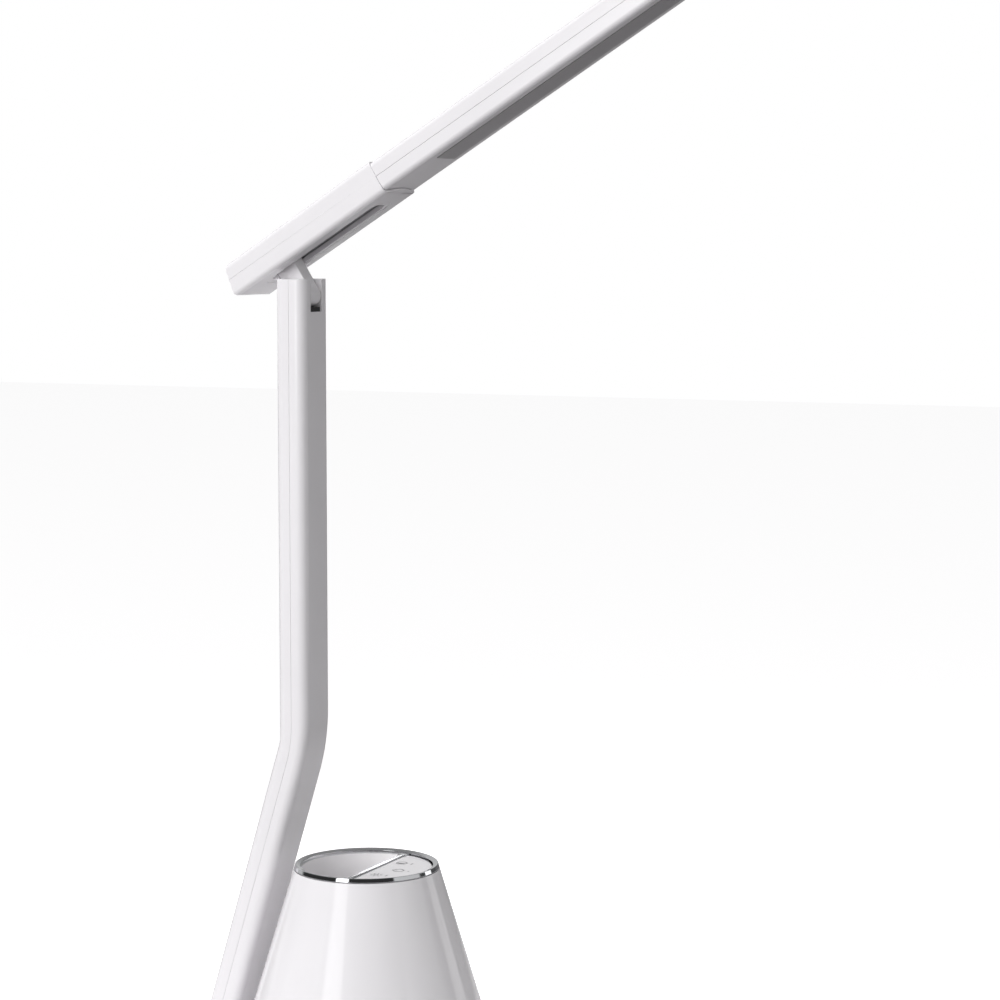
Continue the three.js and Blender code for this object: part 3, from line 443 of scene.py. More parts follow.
def metal(name, light, shade, gloss, relief, streaks=STREAK_SCALE):
    material, shader = surface_material(
        name, BRUSHING, {"Streak Scale": streaks},
        ("Streaks", "Smudges", "Streaks"), (light, shade), gloss, relief)
    shader.inputs["Metallic"].default_value = 1
    return material


FINISHES = {
    "white_gloss": plastic("white_gloss_moulding", (0.83, 0.815, 0.835), (0.80, 0.785, 0.805),
                           (0.09, 0.14), 0.004 * MM),
    "pale_grey_plastic": plastic("pale_grey_moulding", (0.60, 0.60, 0.61), (0.56, 0.56, 0.57),
                                 (0.38, 0.5), 0.02 * MM),
    "cup_white": plastic("white_satin_cup", (0.92, 0.905, 0.92), (0.89, 0.875, 0.89),
                         (0.28, 0.38), 0.01 * MM),
    "key_mark": plastic("printed_grey_mark", (0.20, 0.20, 0.21), (0.17, 0.17, 0.18),
                        (0.35, 0.45), 0.002 * MM),
    "reflector_film": plastic("white_reflector_film", (0.88, 0.88, 0.88), (0.85, 0.85, 0.85),
                              (0.5, 0.6), 0.004 * MM),
    "diffuser": plastic("frosted_grey_diffuser", (0.38, 0.37, 0.38), (0.35, 0.34, 0.35),
                        (0.42, 0.52), 0.01 * MM, grain=4000.0),
    "circuit_board": plastic("green_circuit_board", (0.03, 0.16, 0.08), (0.02, 0.11, 0.06),
                             (0.3, 0.45), 0.01 * MM, waves=400.0),
    # Dark foam for the base pad, also used for the fork pad that paints shade in the fork's pocket
    "foam_pad": plastic("dark_foam_pad_and_fork_shade", (0.035, 0.035, 0.036), (0.02, 0.02, 0.021),
                        (0.85, 0.95), 0.15 * MM, waves=900.0, grain=1800.0),
    "lead_jacket": plastic("pale_lead_jacket", (0.72, 0.72, 0.72), (0.66, 0.66, 0.66),
                           (0.45, 0.55), 0.01 * MM),
    "friction_disc": plastic("friction_disc_nylon", (0.74, 0.71, 0.62), (0.68, 0.65, 0.56),
                             (0.5, 0.6), 0.01 * MM),
    "chrome": metal("polished_chrome", (0.80, 0.81, 0.83), (0.76, 0.77, 0.79),
                    (0.03, 0.07), 0.0001 * MM),
    "steel": metal("zinc_plated_steel", (0.56, 0.57, 0.58), (0.46, 0.47, 0.48),
                   (0.28, 0.42), 0.004 * MM, streaks=900.0),
    "alloy": metal("cast_alloy", (0.66, 0.67, 0.68), (0.58, 0.59, 0.60),
                   (0.4, 0.55), 0.01 * MM, streaks=1500.0),
}


# Post and fork

FRONT_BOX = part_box("post_front_shell")
CONE_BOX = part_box("cone_shell")
RIM_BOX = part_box("chrome_rim")

RIM_TOP = RIM_BOX[1].z
RIM_RADIUS = 36 * MM
CONE_SLOPE = (CONE_BOX[1].x - RIM_RADIUS) / (RIM_TOP - CONE_BOX[0].z)
POST_LEAN = math.atan(CONE_SLOPE)
POST_WIDTH = FRONT_BOX[1].x - FRONT_BOX[0].x
POST_DEPTH = 16.5 * MM
POST_CORNER = 4.7 * MM
POST_WALL = 2.2 * MM
POST_FOOT = FRONT_BOX[0].z
POST_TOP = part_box("fork_front_half")[1].z
POST_FRONT = FRONT_BOX[0].y
POST_REAR = POST_FRONT + POST_DEPTH
BEND_ABOVE_RIM = 61 * MM
REAR_BEND_RADIUS = 17 * MM
FRONT_BEND_RADIUS = 117 * MM
BEND_STEPS = 14
FORK_WIDTH = 11.6 * MM
FORK_DEPTH_UNDER_HINGE = 8 * MM
FORK_FLOOR = HINGE.z - FORK_DEPTH_UNDER_HINGE
FORK_WEB = 6 * MM
FORK_EDGE = 0.25 * MM
# The fork pad is painted shade: a dark sheet on the fork's floor, where the pocket lies in shade
FORK_SHADE_PAD_GAP = 0.02 * MM
FORK_SHADE_PAD_HEIGHT = 2.3 * MM
FORK_SHADE_PAD_SET_BACK = 0.8 * MM


def bend_place(face_y, bend_height, radius, turn):
    reach = radius * math.tan(POST_LEAN / 2)
    y = face_y + radius * (1 - math.cos(turn))
    return Vector((0, y, bend_height + reach - radius * math.sin(turn)))


def post_stations(foot, top):
    """Pairs of places on the rear and the front face, from the foot to the top."""
    rear_bend = RIM_TOP + BEND_ABOVE_RIM
    front_bend = rear_bend - POST_DEPTH * math.tan(POST_LEAN / 2)
    stations = [(
        Vector((0, POST_REAR + (rear_bend - foot) * CONE_SLOPE, foot)),
        Vector((0, POST_FRONT + (front_bend - foot) * CONE_SLOPE, foot)),
    )]
    for step in range(BEND_STEPS + 1):
        turn = POST_LEAN * (1 - step / BEND_STEPS)
        stations.append((
            bend_place(POST_REAR, rear_bend, REAR_BEND_RADIUS, turn),
            bend_place(POST_FRONT, front_bend, FRONT_BEND_RADIUS, turn),
        ))
    stations.append((Vector((0, POST_REAR, top)), Vector((0, POST_FRONT, top))))
    return stations


def sweep_post(name, width, parting_depth, crown_depth, foot, top):
    """Extrudes a rectangle up the post, station by station, and gives the crown's places too.

    The rectangle goes from the parting line to the crown, the outer face. Both depths are counted
    from the post's rear face to its front. The new face is moved with the parting line, and the
    two corners on its crown side are then moved on by what is left.
    """
    shares = (parting_depth / POST_DEPTH, crown_depth / POST_DEPTH)
    places = [[rear.lerp(front, share) for share in shares]
              for rear, front in post_stations(foot, top)]
    parting, crown = places[0]
    bpy.ops.object.select_all(action="DESELECT")
    bpy.ops.mesh.primitive_plane_add(size=1, location=(parting + crown) / 2)
    bpy.context.object.scale = (width, abs(crown.y - parting.y), 1)
    piece = name_piece(name)
    crown_is_front = crown.y < parting.y
    with editing(piece):
        choose_all()
        for before, after in zip(places, places[1:]):
            bpy.ops.mesh.select_mode(type="FACE")
            rise = after[0] - before[0]
            bpy.ops.mesh.extrude_region_move(TRANSFORM_OT_translate={"value": rise})
            mesh = bmesh.from_edit_mesh(piece.data)
            corners = [vertex for vertex in mesh.verts if vertex.select]
            top_face = next(face for face in mesh.faces if face.select)
            corners.sort(key=lambda vertex: vertex.co.y, reverse=not crown_is_front)
            bpy.ops.mesh.select_mode(type="VERT")
            bpy.ops.mesh.select_all(action="DESELECT")
            for vertex in corners[:2]:
                vertex.select_set(True)
            bpy.ops.transform.translate(value=(after[1] - before[1]) - rise)
            bpy.ops.mesh.select_all(action="DESELECT")
            bpy.ops.mesh.select_mode(type="FACE")
            top_face.select_set(True)
            bmesh.update_edit_mesh(piece.data)
        choose_all()
        bpy.ops.mesh.normals_make_consistent(inside=False)
    return piece, [crown for parting, crown in places]


def near_any(point, places):
    return any((Vector((0, point.y, point.z)) - place).length < HAIRLINE for place in places)


def make_post_shell(name, parting_depth, crown_depth, nodes):
    piece, crowns = sweep_post(name, POST_WIDTH, parting_depth, crown_depth, POST_FOOT, POST_TOP)
    round_edges(
        piece,
        lambda edge: not runs_along(edge, ACROSS)
        and all(near_any(end.co, crowns) for end in edge.verts),
        POST_CORNER,
    )
    hollow = sweep_post("post_hollow", POST_WIDTH - 2 * POST_WALL, POST_WALL,
                        POST_DEPTH - POST_WALL, POST_FOOT - OVERRUN, FORK_FLOOR - FORK_WEB)[0]
    fork = add_box("fork_cut", (-FORK_WIDTH / 2, POST_FRONT - OVERRUN, FORK_FLOOR),
                   (FORK_WIDTH / 2, POST_REAR + OVERRUN, POST_TOP + OVERRUN))
    cut(piece, hollow, fork)
    discard(hollow, fork)
    soften(piece, FORK_EDGE)
    finish_piece(piece, "root", "white_gloss", *nodes)


def make_post():
    middle_depth = POST_DEPTH / 2
    make_post_shell("post_front_moulding", middle_depth + HAIRLINE, POST_DEPTH,
                    ["post_front_shell", "fork_front_half"])
    make_post_shell("post_rear_moulding", middle_depth - HAIRLINE, 0,
                    ["post_rear_shell", "fork_rear_half"])


def make_fork_shade_pad():
    """Dark pad on the fork's floor, under the lug's round end: a dark sheet that paints the shade falling in the
    fork's pocket.
    """
    half = FORK_WIDTH / 2 - FORK_SHADE_PAD_GAP
    piece = add_box("fork_shade_pad", (-half, POST_FRONT + FORK_SHADE_PAD_SET_BACK, FORK_FLOOR + FORK_SHADE_PAD_GAP),
                    (half, POST_REAR - FORK_SHADE_PAD_SET_BACK, FORK_FLOOR + FORK_SHADE_PAD_HEIGHT))
    soften(piece, FORK_EDGE)
    finish_piece(piece, "root", "foam_pad")


# Cone and pen holder

CONE_WALL = 2.2 * MM
CONE_EDGE = 0.3 * MM
INLET_ANGLE = math.radians(15)
INLET_WIDTH = 9.2 * MM
INLET_HEIGHT = 3.6 * MM
INLET_MARGIN = 0.5 * MM
INLET_CUT_REACH = 3
RIM_INNER = 33.2 * MM
RIM_EDGE = 0.3 * MM
CUP_FLOOR = 34 * MM
CUP_TOP_RADIUS = 33 * MM
CUP_FOOT_RADIUS = 31.4 * MM
CUP_WALL = 1.4 * MM
CUP_FLOOR_FILLET = 3 * MM
CUP_FILLET_STEPS = 6
DIVIDER_MIDDLE = -5.3 * MM
DIVIDER_HALF = 0.85 * MM
DIVIDER_RISE = 1.1 * MM
DIVIDER_END = 3 * MM
DIVIDER_EDGE = 0.25 * MM
DIVIDER_SLOPE = 0.52 * MM
PANEL_EDGE = 0.35 * MM


def cut_inlet_window(cone):
    """Cuts a slot with round ends through the cone's wall, round the power inlet."""
    low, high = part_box("power_inlet")
    width, height = INLET_WIDTH + 2 * INLET_MARGIN, INLET_HEIGHT + 2 * INLET_MARGIN
    place = high.xy.length
    reach = height * INLET_CUT_REACH
    z = (low.z + high.z) / 2
    cutter = add_box("inlet_cut", (place - reach, -width / 2, z - height / 2),
                     (place + reach, width / 2, z + height / 2))
    round_edges(cutter, lambda edge: runs_along(edge, ACROSS), height / 2 - HAIRLINE)
    cutter.matrix_world = Matrix.Rotation(INLET_ANGLE, 4, "Z")
    cut(cone, cutter)
    discard(cutter)


def make_cone():
    low, high = CONE_BOX
    top_radius = RIM_RADIUS + (RIM_TOP - high.z) * CONE_SLOPE
    piece = add_round("cone_moulding", high.x, top_radius, low.z, high.z, ends="NOTHING")
    apply_modifier(piece, "SOLIDIFY", thickness=CONE_WALL, offset=-1)
    cut_inlet_window(piece)
    soften(piece, CONE_EDGE)
    finish_piece(piece, "root", "white_gloss", "cone_shell")


def make_rim():
    low, high = RIM_BOX
    foot_radius = RIM_RADIUS + (high.z - low.z) * CONE_SLOPE
    piece = add_round("rim_ring", foot_radius, RIM_RADIUS, low.z, high.z, ends="NOTHING")
    apply_modifier(piece, "SOLIDIFY", thickness=RIM_RADIUS - RIM_INNER, offset=-1)
    soften(piece, RIM_EDGE, SHINY_STEPS)
    finish_piece(piece, "root", "chrome", "chrome_rim")


def make_pen_cup():
    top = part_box("pen_cup")[1].z
    piece = add_round("pen_cup_moulding", CUP_FOOT_RADIUS, CUP_TOP_RADIUS, CUP_FLOOR, top)
    with editing(piece):
        halve((0, DIVIDER_MIDDLE + CUP_WALL / 2, 0), -LENGTHWISE)
        choose("FACE", lambda face: face.normal.z > STRAIGHT)
        bpy.ops.mesh.delete(type="FACE")
    round_edges(piece, lambda edge: max(heights(edge)) < CUP_FLOOR + HAIRLINE,
                CUP_FLOOR_FILLET, CUP_FILLET_STEPS)
    apply_modifier(piece, "SOLIDIFY", thickness=CUP_WALL, offset=1, use_even_offset=True)
    deck_radius = CUP_TOP_RADIUS + CUP_WALL / 2
    deck_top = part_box("touch_board")[0].z - SEAT_GAP
    deck = add_round("cup_deck", deck_radius, deck_radius, deck_top - CUP_WALL, deck_top)
    with editing(deck):
        halve((0, DIVIDER_MIDDLE, 0), LENGTHWISE)
    join(piece, deck)
    finish_piece(piece, "root", "pale_grey_plastic", "pen_cup", finish="cup_white")


def make_divider():
    """A rail whose top slopes down towards the touch panel, with a wider block at each end."""
    low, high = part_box("divider_bar")
    half = (high.x - low.x) / 2
    rail_top = low.z + DIVIDER_RISE
    rail = add_box("divider_rail", (-half, DIVIDER_MIDDLE - DIVIDER_HALF, low.z),
                   (half, DIVIDER_MIDDLE + DIVIDER_HALF, rail_top))
    with editing(rail):
        choose("VERT", lambda vertex: vertex.co.z > rail_top - HAIRLINE
               and vertex.co.y < DIVIDER_MIDDLE)
        bpy.ops.transform.translate(value=(0, 0, -DIVIDER_SLOPE))
    soften(rail, DIVIDER_EDGE, SHINY_STEPS)
    ends = []
    for side in (-1, 1):
        outer, inner = side * half, side * (half - DIVIDER_END)
        end = add_box("divider_end", (min(outer, inner), low.y, low.z),
                      (max(outer, inner), high.y, rail_top - HAIRLINE))
        soften(end, DIVIDER_EDGE, SHINY_STEPS)
        ends.append(end)
    finish_piece(join(rail, *ends), "root", "chrome", "divider_bar")


def make_touch_panel():
    low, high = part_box("touch_panel")
    radius = CUP_TOP_RADIUS - HAIRLINE
    piece = add_round("touch_panel_moulding", radius, radius, low.z, high.z)
    with editing(piece):
        halve((0, high.y, 0), LENGTHWISE)
    soften(piece, PANEL_EDGE, VISIBLE_STEPS)
    finish_piece(piece, "root", "white_gloss", "touch_panel")


# Marks on the touch keys

MARK_HEIGHT = 0.05 * MM
MARK_STROKE = 0.7 * MM
MARK_RADIUS = 3.0 * MM
MARK_CLEARANCE = 1.6 * MARK_STROKE
POWER_LINE_START = 0.15 * MARK_RADIUS
POWER_LINE_END = 1.15 * MARK_RADIUS
SUN_RADIUS = 0.46 * MARK_RADIUS
RAY_START = 0.68 * MARK_RADIUS
RAY_END = 1.12 * MARK_RADIUS
RAYS = 8
MARK_RISE = 2.0 * MM
SIGN_DROP = 3.6 * MM
SIGN_HALF = 1.5 * MM
MARK_FLATS = 48
MIDDLE_KEY = (-1.2 * MM, -20.4 * MM)
LEFT_KEY = (-14.4 * MM, -14.6 * MM)
RIGHT_KEY = (14.4 * MM, -14.6 * MM)


def flat_ring(name, radius, foot):
    bpy.ops.object.select_all(action="DESELECT")
    bpy.ops.mesh.primitive_circle_add(vertices=MARK_FLATS, radius=radius, fill_type="NGON",
                                      location=(0, 0, foot))
    piece = name_piece(name)
    with editing(piece):
        choose_all()
        bpy.ops.mesh.inset(thickness=MARK_STROKE)
        bpy.ops.mesh.delete(type="FACE")
        raise_outline(MARK_HEIGHT)
    return piece


def stroke(name, start, end, foot):
    """A straight line of a mark, from one distance to another along +Y."""
    half = MARK_STROKE / 2
    return add_box(name, (-half, start, foot), (half, end, foot + MARK_HEIGHT))


def power_mark(foot):
    ring = flat_ring("key_mark_power", MARK_RADIUS, foot)
    with editing(ring):
        choose("FACE", lambda face: abs(face.calc_center_median().x) < MARK_CLEARANCE
               and face.calc_center_median().y > 0)
        bpy.ops.mesh.delete(type="FACE")
    return join(ring, stroke("power_line", POWER_LINE_START, POWER_LINE_END, foot))


def brightness_mark(foot):
    rays = [
        put(stroke("ray", RAY_START, RAY_END, foot), Matrix.Rotation(turn, 4, "Z"))
        for turn in (2 * math.pi * ray / RAYS for ray in range(RAYS))
    ]
    return join(flat_ring("key_mark_brightness", SUN_RADIUS, foot), *rays)


def tone_mark(foot):
    radius = MARK_RADIUS - MARK_CLEARANCE
    half = add_round("tone_half", radius, radius, foot, foot + MARK_HEIGHT, flats=MARK_FLATS)
    with editing(half):
        halve((0, 0, 0), ACROSS)
    return join(flat_ring("key_mark_light_tone", MARK_RADIUS, foot), half)


def sign(half_width, foot):
    """A dot, or a short level line, under a mark."""
    half = MARK_STROKE / 2
    y = -SIGN_DROP - MARK_RISE
    return add_box("sign", (-half_width, y - half, foot),
                   (half_width, y + half, foot + MARK_HEIGHT))


def make_marks():
    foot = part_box("touch_panel")[1].z - HAIRLINE / 2
    marks = [
        (power_mark, MIDDLE_KEY, MARK_STROKE),
        (brightness_mark, LEFT_KEY, SIGN_HALF),
        (tone_mark, RIGHT_KEY, SIGN_HALF),
    ]
    for make, (x, y), half_width in marks:
        mark = join(make(foot), sign(half_width, foot))
        put(mark, Matrix.Translation((x, y + MARK_RISE, 0)))
        finish_piece(mark, "root", "pale_grey_plastic", finish="key_mark")


# Base plate

TRAY_EDGE = 1.2 * MM
TRAY_INSET = 0.1 * MM
TONGUE_HALF = 18 * MM
TONGUE_FILLET = 14 * MM
DISC_STEPS = 160
FILLET_STEPS = 14
TONGUE_STEPS = 48
COVER_INSET = 5.7 * MM
COVER_RECESS = 1.9 * MM
PAD_EDGE = 0.3 * MM


def arc(centre_x, centre_y, radius, start, end, steps):
    turns = [start + (end - start) * step / steps for step in range(steps + 1)]
    return [(centre_x + radius * math.cos(turn), centre_y + radius * math.sin(turn))
            for turn in turns]


def base_outline(inset):
    """Round plate with a tongue behind, its sides joined to the round by fillets."""
    low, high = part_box("base_tray")
    radius = -low.y - inset
    half = TONGUE_HALF - inset
    fillet = TONGUE_FILLET + inset
    tongue_y = high.y - TONGUE_HALF
    x = half + fillet
    y = math.sqrt((radius + fillet) ** 2 - x ** 2)
    turn = math.atan2(y, x)
    return [
        *arc(0, 0, radius, math.pi - turn, 2 * math.pi + turn, DISC_STEPS),
        *arc(x, y, fillet, turn + math.pi, math.pi, FILLET_STEPS)[1:],
        *arc(0, tongue_y, half, 0, math.pi, TONGUE_STEPS),
        *arc(-x, y, fillet, 0, -turn, FILLET_STEPS)[:-1],
    ]


def make_base():
    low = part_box("base_tray")[0]
    tray = add_plate("base_moulding", base_outline(TRAY_INSET), low.z, CONE_BOX[0].z - SEAT_GAP)
    recess = add_plate("cover_cut", base_outline(COVER_INSET), low.z - OVERRUN,
                       low.z + COVER_RECESS)
    cut(tray, recess)
    discard(recess)
    soften(tray, TRAY_EDGE, BROAD_STEPS)
    finish_piece(tray, "root", "white_gloss", "base_tray")
    pad_low, pad_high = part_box("base_pad")
    pad = add_plate("base_pad_sheet", base_outline(pad_low.y - low.y), pad_low.z, pad_high.z)
    soften(pad, PAD_EDGE)
    finish_piece(pad, "root", "foam_pad", "base_pad")


# Hinge lug and light bar, in the arm's own frame

LUG_EDGE = 0.5 * MM
LUG_END_STEPS = 14
ARM_PARTING = 24.6 * MM
PARTING_EDGE = 0.12 * MM
NEAR_PARTING = 1.5 * OVERRUN
TAIL_CORNER = 2.8 * MM
TAIL_LEAN = 3.2 * MM
TAIL_WALL = 1.8 * MM
TAIL_FLOOR = 2.6 * MM
TAIL_ROOF = 30.8 * MM
TAIL_FULL_HEIGHT = 32.1 * MM
TAIL_GAP = 0.05 * MM
TAIL_REAR_REACH = 1.2 * MM
SLOT_EDGE = 0.25 * MM
SLOT_HALF = 6 * MM
SLOT_DRAFT = 0.35 * MM
SLOT_BORDER = 2 * MM
SLOT_BORDER_ENDS = 3.5 * MM
SLOT_BORDER_DEPTH = 0.35 * MM
SLOT_CORNER = 4 * MM
SLOT_STEPS = 10
SLOT_START_PAST_RAIL = 3.8 * MM
SLOT_END_PAST_RAIL = 1.5 * MM
MOUTH_TAPER = 0.3 * MM
LIP_REACH = 2.6 * MM
LIP_ROOT = 1.2 * MM
LIP_THICKNESS = 1.0 * MM
LIP_EDGE = 0.3 * MM
LIP_STEPS = 24
HEAD_CORNER = 2.6 * MM
HEAD_EDGE = 1.2 * MM
HEAD_WALL = 1.6 * MM
HEAD_GAP = 0.08 * MM
HEAD_END_TRIM = 0.95 * MM
HEAD_SEAM = 0.06 * MM
WINDOW_HALF = 9.7 * MM
DIFFUSER_EDGE = 0.3 * MM


def make_lug():
    low, high = arm_box("hinge_lug")
    piece = add_box("hinge_lug_moulding", low, high)
    round_edges(piece, lambda edge: runs_along(edge, ACROSS) and middle(edge).z < 0,
                (high.y - low.y) / 2 - HAIRLINE, LUG_END_STEPS)
    soften(piece, LUG_EDGE, VISIBLE_STEPS)
    finish_piece(put(piece, ARM_PLACE), "slider", "white_gloss", "hinge_lug")


def part_off(piece, height, waste_side):
    """Cuts off what lies above (1) or below (-1) a height, so that the parting face stays sharp."""
    with editing(piece):
        halve((0, 0, height), waste_side * UP)


def finish_on_bar(piece, slot_name, node):
    finish_piece(put(piece, ARM_PLACE), "light_bar", slot_name, node)


def slot_outline(half, start, end, corner):
    x = half - corner
    near, far = -(start + corner), -(end - corner)
    quarter = math.pi / 2
    return [
        *arc(x, near, corner, 0, quarter, SLOT_STEPS),
        *arc(-x, near, corner, quarter, 2 * quarter, SLOT_STEPS),
        *arc(-x, far, corner, 2 * quarter, 3 * quarter, SLOT_STEPS),
        *arc(x, far, corner, 3 * quarter, 4 * quarter, SLOT_STEPS),
    ]


def slot_reach():
    """Where the slot starts and ends along the arm, from the rails beside it."""
    rail_low, rail_high = arm_box("slide_rail_left")
    return SLOT_START_PAST_RAIL - rail_high.y, -rail_low.y - SLOT_END_PAST_RAIL


def lean_rear(piece, rear, foot):
    """Slopes the rear end, so that its top is set back by the lean."""
    levels = sorted({round(vertex.co.z, MICRON_DIGITS) for vertex in piece.data.vertices})
    with editing(piece):
        for level in levels:
            choose("VERT", lambda vertex: vertex.co.y > rear - HAIRLINE
                   and abs(vertex.co.z - level) < HAIRLINE)
            share = (level - foot) / (TAIL_FULL_HEIGHT - foot)
            bpy.ops.transform.translate(value=(0, -TAIL_LEAN * share, 0))


def make_mouth_lip(low, high):
    """A thin tongue under the head, its front a shallow arc from one side to the other."""
    half = high.x - TAIL_CORNER
    radius = (half ** 2 + LIP_REACH ** 2) / (2 * LIP_REACH)
    sweep = math.asin(half / radius)
    facing = 3 * math.pi / 2
    front = arc(0, low.y - LIP_REACH + radius, radius, facing - sweep, facing + sweep, LIP_STEPS)
    outline = [*front, (half, low.y + LIP_ROOT), (-half, low.y + LIP_ROOT)]
    lip = add_plate("mouth_lip", outline, low.z, low.z + LIP_THICKNESS)
    soften(lip, LIP_EDGE, VISIBLE_STEPS)
    return lip


def make_tail_lower(low, high, rear, hollow):
    piece = add_box("tail_lower_moulding", low, (high.x, rear, ARM_PARTING + OVERRUN))
    lean_rear(piece, rear, low.z)
    round_edges(
        piece,
        lambda edge: max(heights(edge)) < low.z + HAIRLINE
        and not (runs_along(edge, ACROSS) and middle(edge).y < 0),
        TAIL_CORNER,
    )
    start, end = slot_reach()
    border = add_plate(
        "slot_border_cut",
        slot_outline(SLOT_HALF + SLOT_BORDER, start - SLOT_BORDER_ENDS, end + SLOT_BORDER_ENDS,
                     SLOT_CORNER + SLOT_BORDER),
        low.z - OVERRUN, low.z + SLOT_BORDER_DEPTH,
    )
    slot = add_plate("slot_cut", slot_outline(SLOT_HALF, start, end, SLOT_CORNER),
                     low.z - OVERRUN, low.z + TAIL_FLOOR + OVERRUN)
    with editing(slot):
        choose("VERT", lambda vertex: vertex.co.z > low.z)
        bpy.ops.transform.resize(value=(1 - SLOT_DRAFT / SLOT_HALF, 1, 1),
                                 center_override=(0, 0, 0))
    cut(piece, hollow, border, slot)
    discard(border, slot)
    soften(piece, SLOT_EDGE)
    part_off(piece, ARM_PARTING - TAIL_GAP, 1)
    join(piece, make_mouth_lip(low, high))
    finish_on_bar(piece, "white_gloss", "tail_lower_shell")


def make_tail_upper(low, high, rear, hollow):
    piece = add_box("tail_upper_moulding", (low.x, low.y, ARM_PARTING - OVERRUN),
                    (high.x, rear, high.z))
    with editing(piece):
        choose("VERT", lambda vertex: vertex.co.y > 0 and vertex.co.z > ARM_PARTING)
        bpy.ops.transform.translate(value=(0, 0, TAIL_FULL_HEIGHT - high.z))
    lean_rear(piece, rear, low.z)
    round_edges(piece, lambda edge: runs_along(edge, LENGTHWISE)
                and min(heights(edge)) > ARM_PARTING, TAIL_CORNER)
    with editing(piece):
        choose("VERT", lambda vertex: vertex.co.y < low.y + HAIRLINE)
        bpy.ops.transform.resize(value=(1 - MOUTH_TAPER / high.x, 1, 1), center_override=(0, 0, 0))
    cut(piece, hollow)
    soften(piece, SLOT_EDGE)
    part_off(piece, ARM_PARTING + TAIL_GAP, -1)
    finish_on_bar(piece, "white_gloss", "tail_upper_shell")


def make_tail():
    low, high = arm_box("tail_lower_shell")
    rear = high.y + TAIL_REAR_REACH
    hollow = add_box("tail_hollow", (-high.x + TAIL_WALL, low.y - OVERRUN, low.z + TAIL_FLOOR),
                     (high.x - TAIL_WALL, rear - TAIL_LEAN - TAIL_WALL, TAIL_ROOF))
    make_tail_lower(low, high, rear, hollow)
    make_tail_upper(low, arm_box("tail_upper_shell")[1], rear, hollow)
    discard(hollow)


def round_head_half(piece, far_end, crown):
    """Rounds the long edges at the crown's height, then the far end."""
    round_edges(piece, lambda edge: runs_along(edge, LENGTHWISE)
                and abs(middle(edge).z - crown) < HAIRLINE, HEAD_CORNER)
    round_edges(
        piece,
        lambda edge: max(end.co.y for end in edge.verts) < far_end + HAIRLINE
        and abs(middle(edge).z - ARM_PARTING) > NEAR_PARTING,
        HEAD_EDGE, BROAD_STEPS,
    )


def make_head():
    low, high = arm_box("head_frame")
    top_high = arm_box("head_upper_shell")[1]
    low.y += HEAD_END_TRIM
    high.y = top_high.y = arm_box("tail_lower_shell")[0].y - HEAD_SEAM
    hollow = add_box(
        "head_hollow",
        (low.x + HEAD_WALL, low.y + HEAD_WALL, low.z + HEAD_WALL),
        (high.x - HEAD_WALL, high.y + OVERRUN, top_high.z - HEAD_WALL),
    )
    upper = add_box("head_upper_moulding", (low.x, low.y, ARM_PARTING - OVERRUN), top_high)
    round_head_half(upper, low.y, top_high.z)
    cut(upper, hollow)
    soften(upper, PARTING_EDGE)
    part_off(upper, ARM_PARTING + HEAD_GAP, -1)
    finish_on_bar(upper, "white_gloss", "head_upper_shell")

    lower = add_box("head_frame_moulding", low, (high.x, high.y, ARM_PARTING + OVERRUN))
    round_head_half(lower, low.y, low.z)
    lens_low, lens_high = arm_box("diffuser")
    foot = low.z - OVERRUN
    window = add_box("window_cut", (-WINDOW_HALF, lens_low.y - SEAT_GAP, foot),
                     (WINDOW_HALF, lens_high.y + SEAT_GAP, foot + HEAD_WALL + 2 * OVERRUN))
    cut(lower, hollow, window)
    discard(hollow, window)
    soften(lower, PARTING_EDGE)
    part_off(lower, ARM_PARTING - HEAD_GAP, 1)
    finish_on_bar(lower, "white_gloss", "head_frame")


def make_diffuser():
    low, high = arm_box("diffuser")
    half = WINDOW_HALF - HAIRLINE
    lens = add_box("diffuser_lens", (-half, low.y - SEAT_GAP, low.z),
                   (half, high.y + SEAT_GAP, high.z))
    soften(lens, DIFFUSER_EDGE)
    finish_on_bar(lens, "diffuser", "diffuser")


# Carried-over nodes

SMALL_PARTS = ["power_inlet", "hinge_pin", "friction_washer_left", "friction_washer_right",
               "slider_shoe", "slider_spring", "slider_screw", "slide_rail_left",
               "slide_rail_right"]


def dress_nodes():
    """Gives the CAD nodes their finishes, and shows the small parts as smooth copies."""
    record = frame["record"]
    slots = {part["node"]: part["material_slot"] for part in record["subparts"]}
    bodies = {
        node: body
        for body, nodes in record["behaviour"]["bodies"].items()
        for node in nodes
    }
    for node, piece in frame["nodes"].items():
        piece.data.materials.clear()
        piece.data.materials.append(FINISHES[slots[node]])
    for node in SMALL_PARTS:
        finish_piece(smooth_copy(node), bodies[node], slots[node], node)


# Stage

FLOOR_SIZE = 12.0
# Painted pool of light: the floor's colour is brighter in a round patch near the lamp, standing in for light that
# falls on the table there
FLOOR_POOL_OF_LIGHT_MIDDLE = (0.28, 0.08, 0)
FLOOR_POOL_OF_LIGHT = (0.80, 0.786, 0.80)
FLOOR_DIM = (0.27, 0.264, 0.27)
FLOOR_POOL_OF_LIGHT_REACH = 0.34
FLOOR_POOL_OF_LIGHT_FADE = 0.54
FLOOR_CLOUD_SCALE = 3.0
FLOOR_CLOUD_DETAIL = 2.0
FLOOR_CLOUD = 0.05
FLOOR_ROUGHNESS = 0.9
FLOOR_SHEEN = 0.1
FLOOR_SHOWN = 0.85

# What the gloss sees round the lamp: azimuth in degrees from +X towards +Y, and brightness
ROOM = [
    (0, 0.10), (14, 0.10), (22, 0.50), (82, 0.55), (90, 0.03), (156, 0.03), (158.5, 2.6),
    (176, 2.6), (178.5, 0.03), (250, 0.03), (252.5, 0.62), (298, 0.58), (302, 0.05),
]
CEILING_START = 0.45
CEILING_FULL = 0.6
CEILING_TONE = 0.25
AMBIENT = 0.355

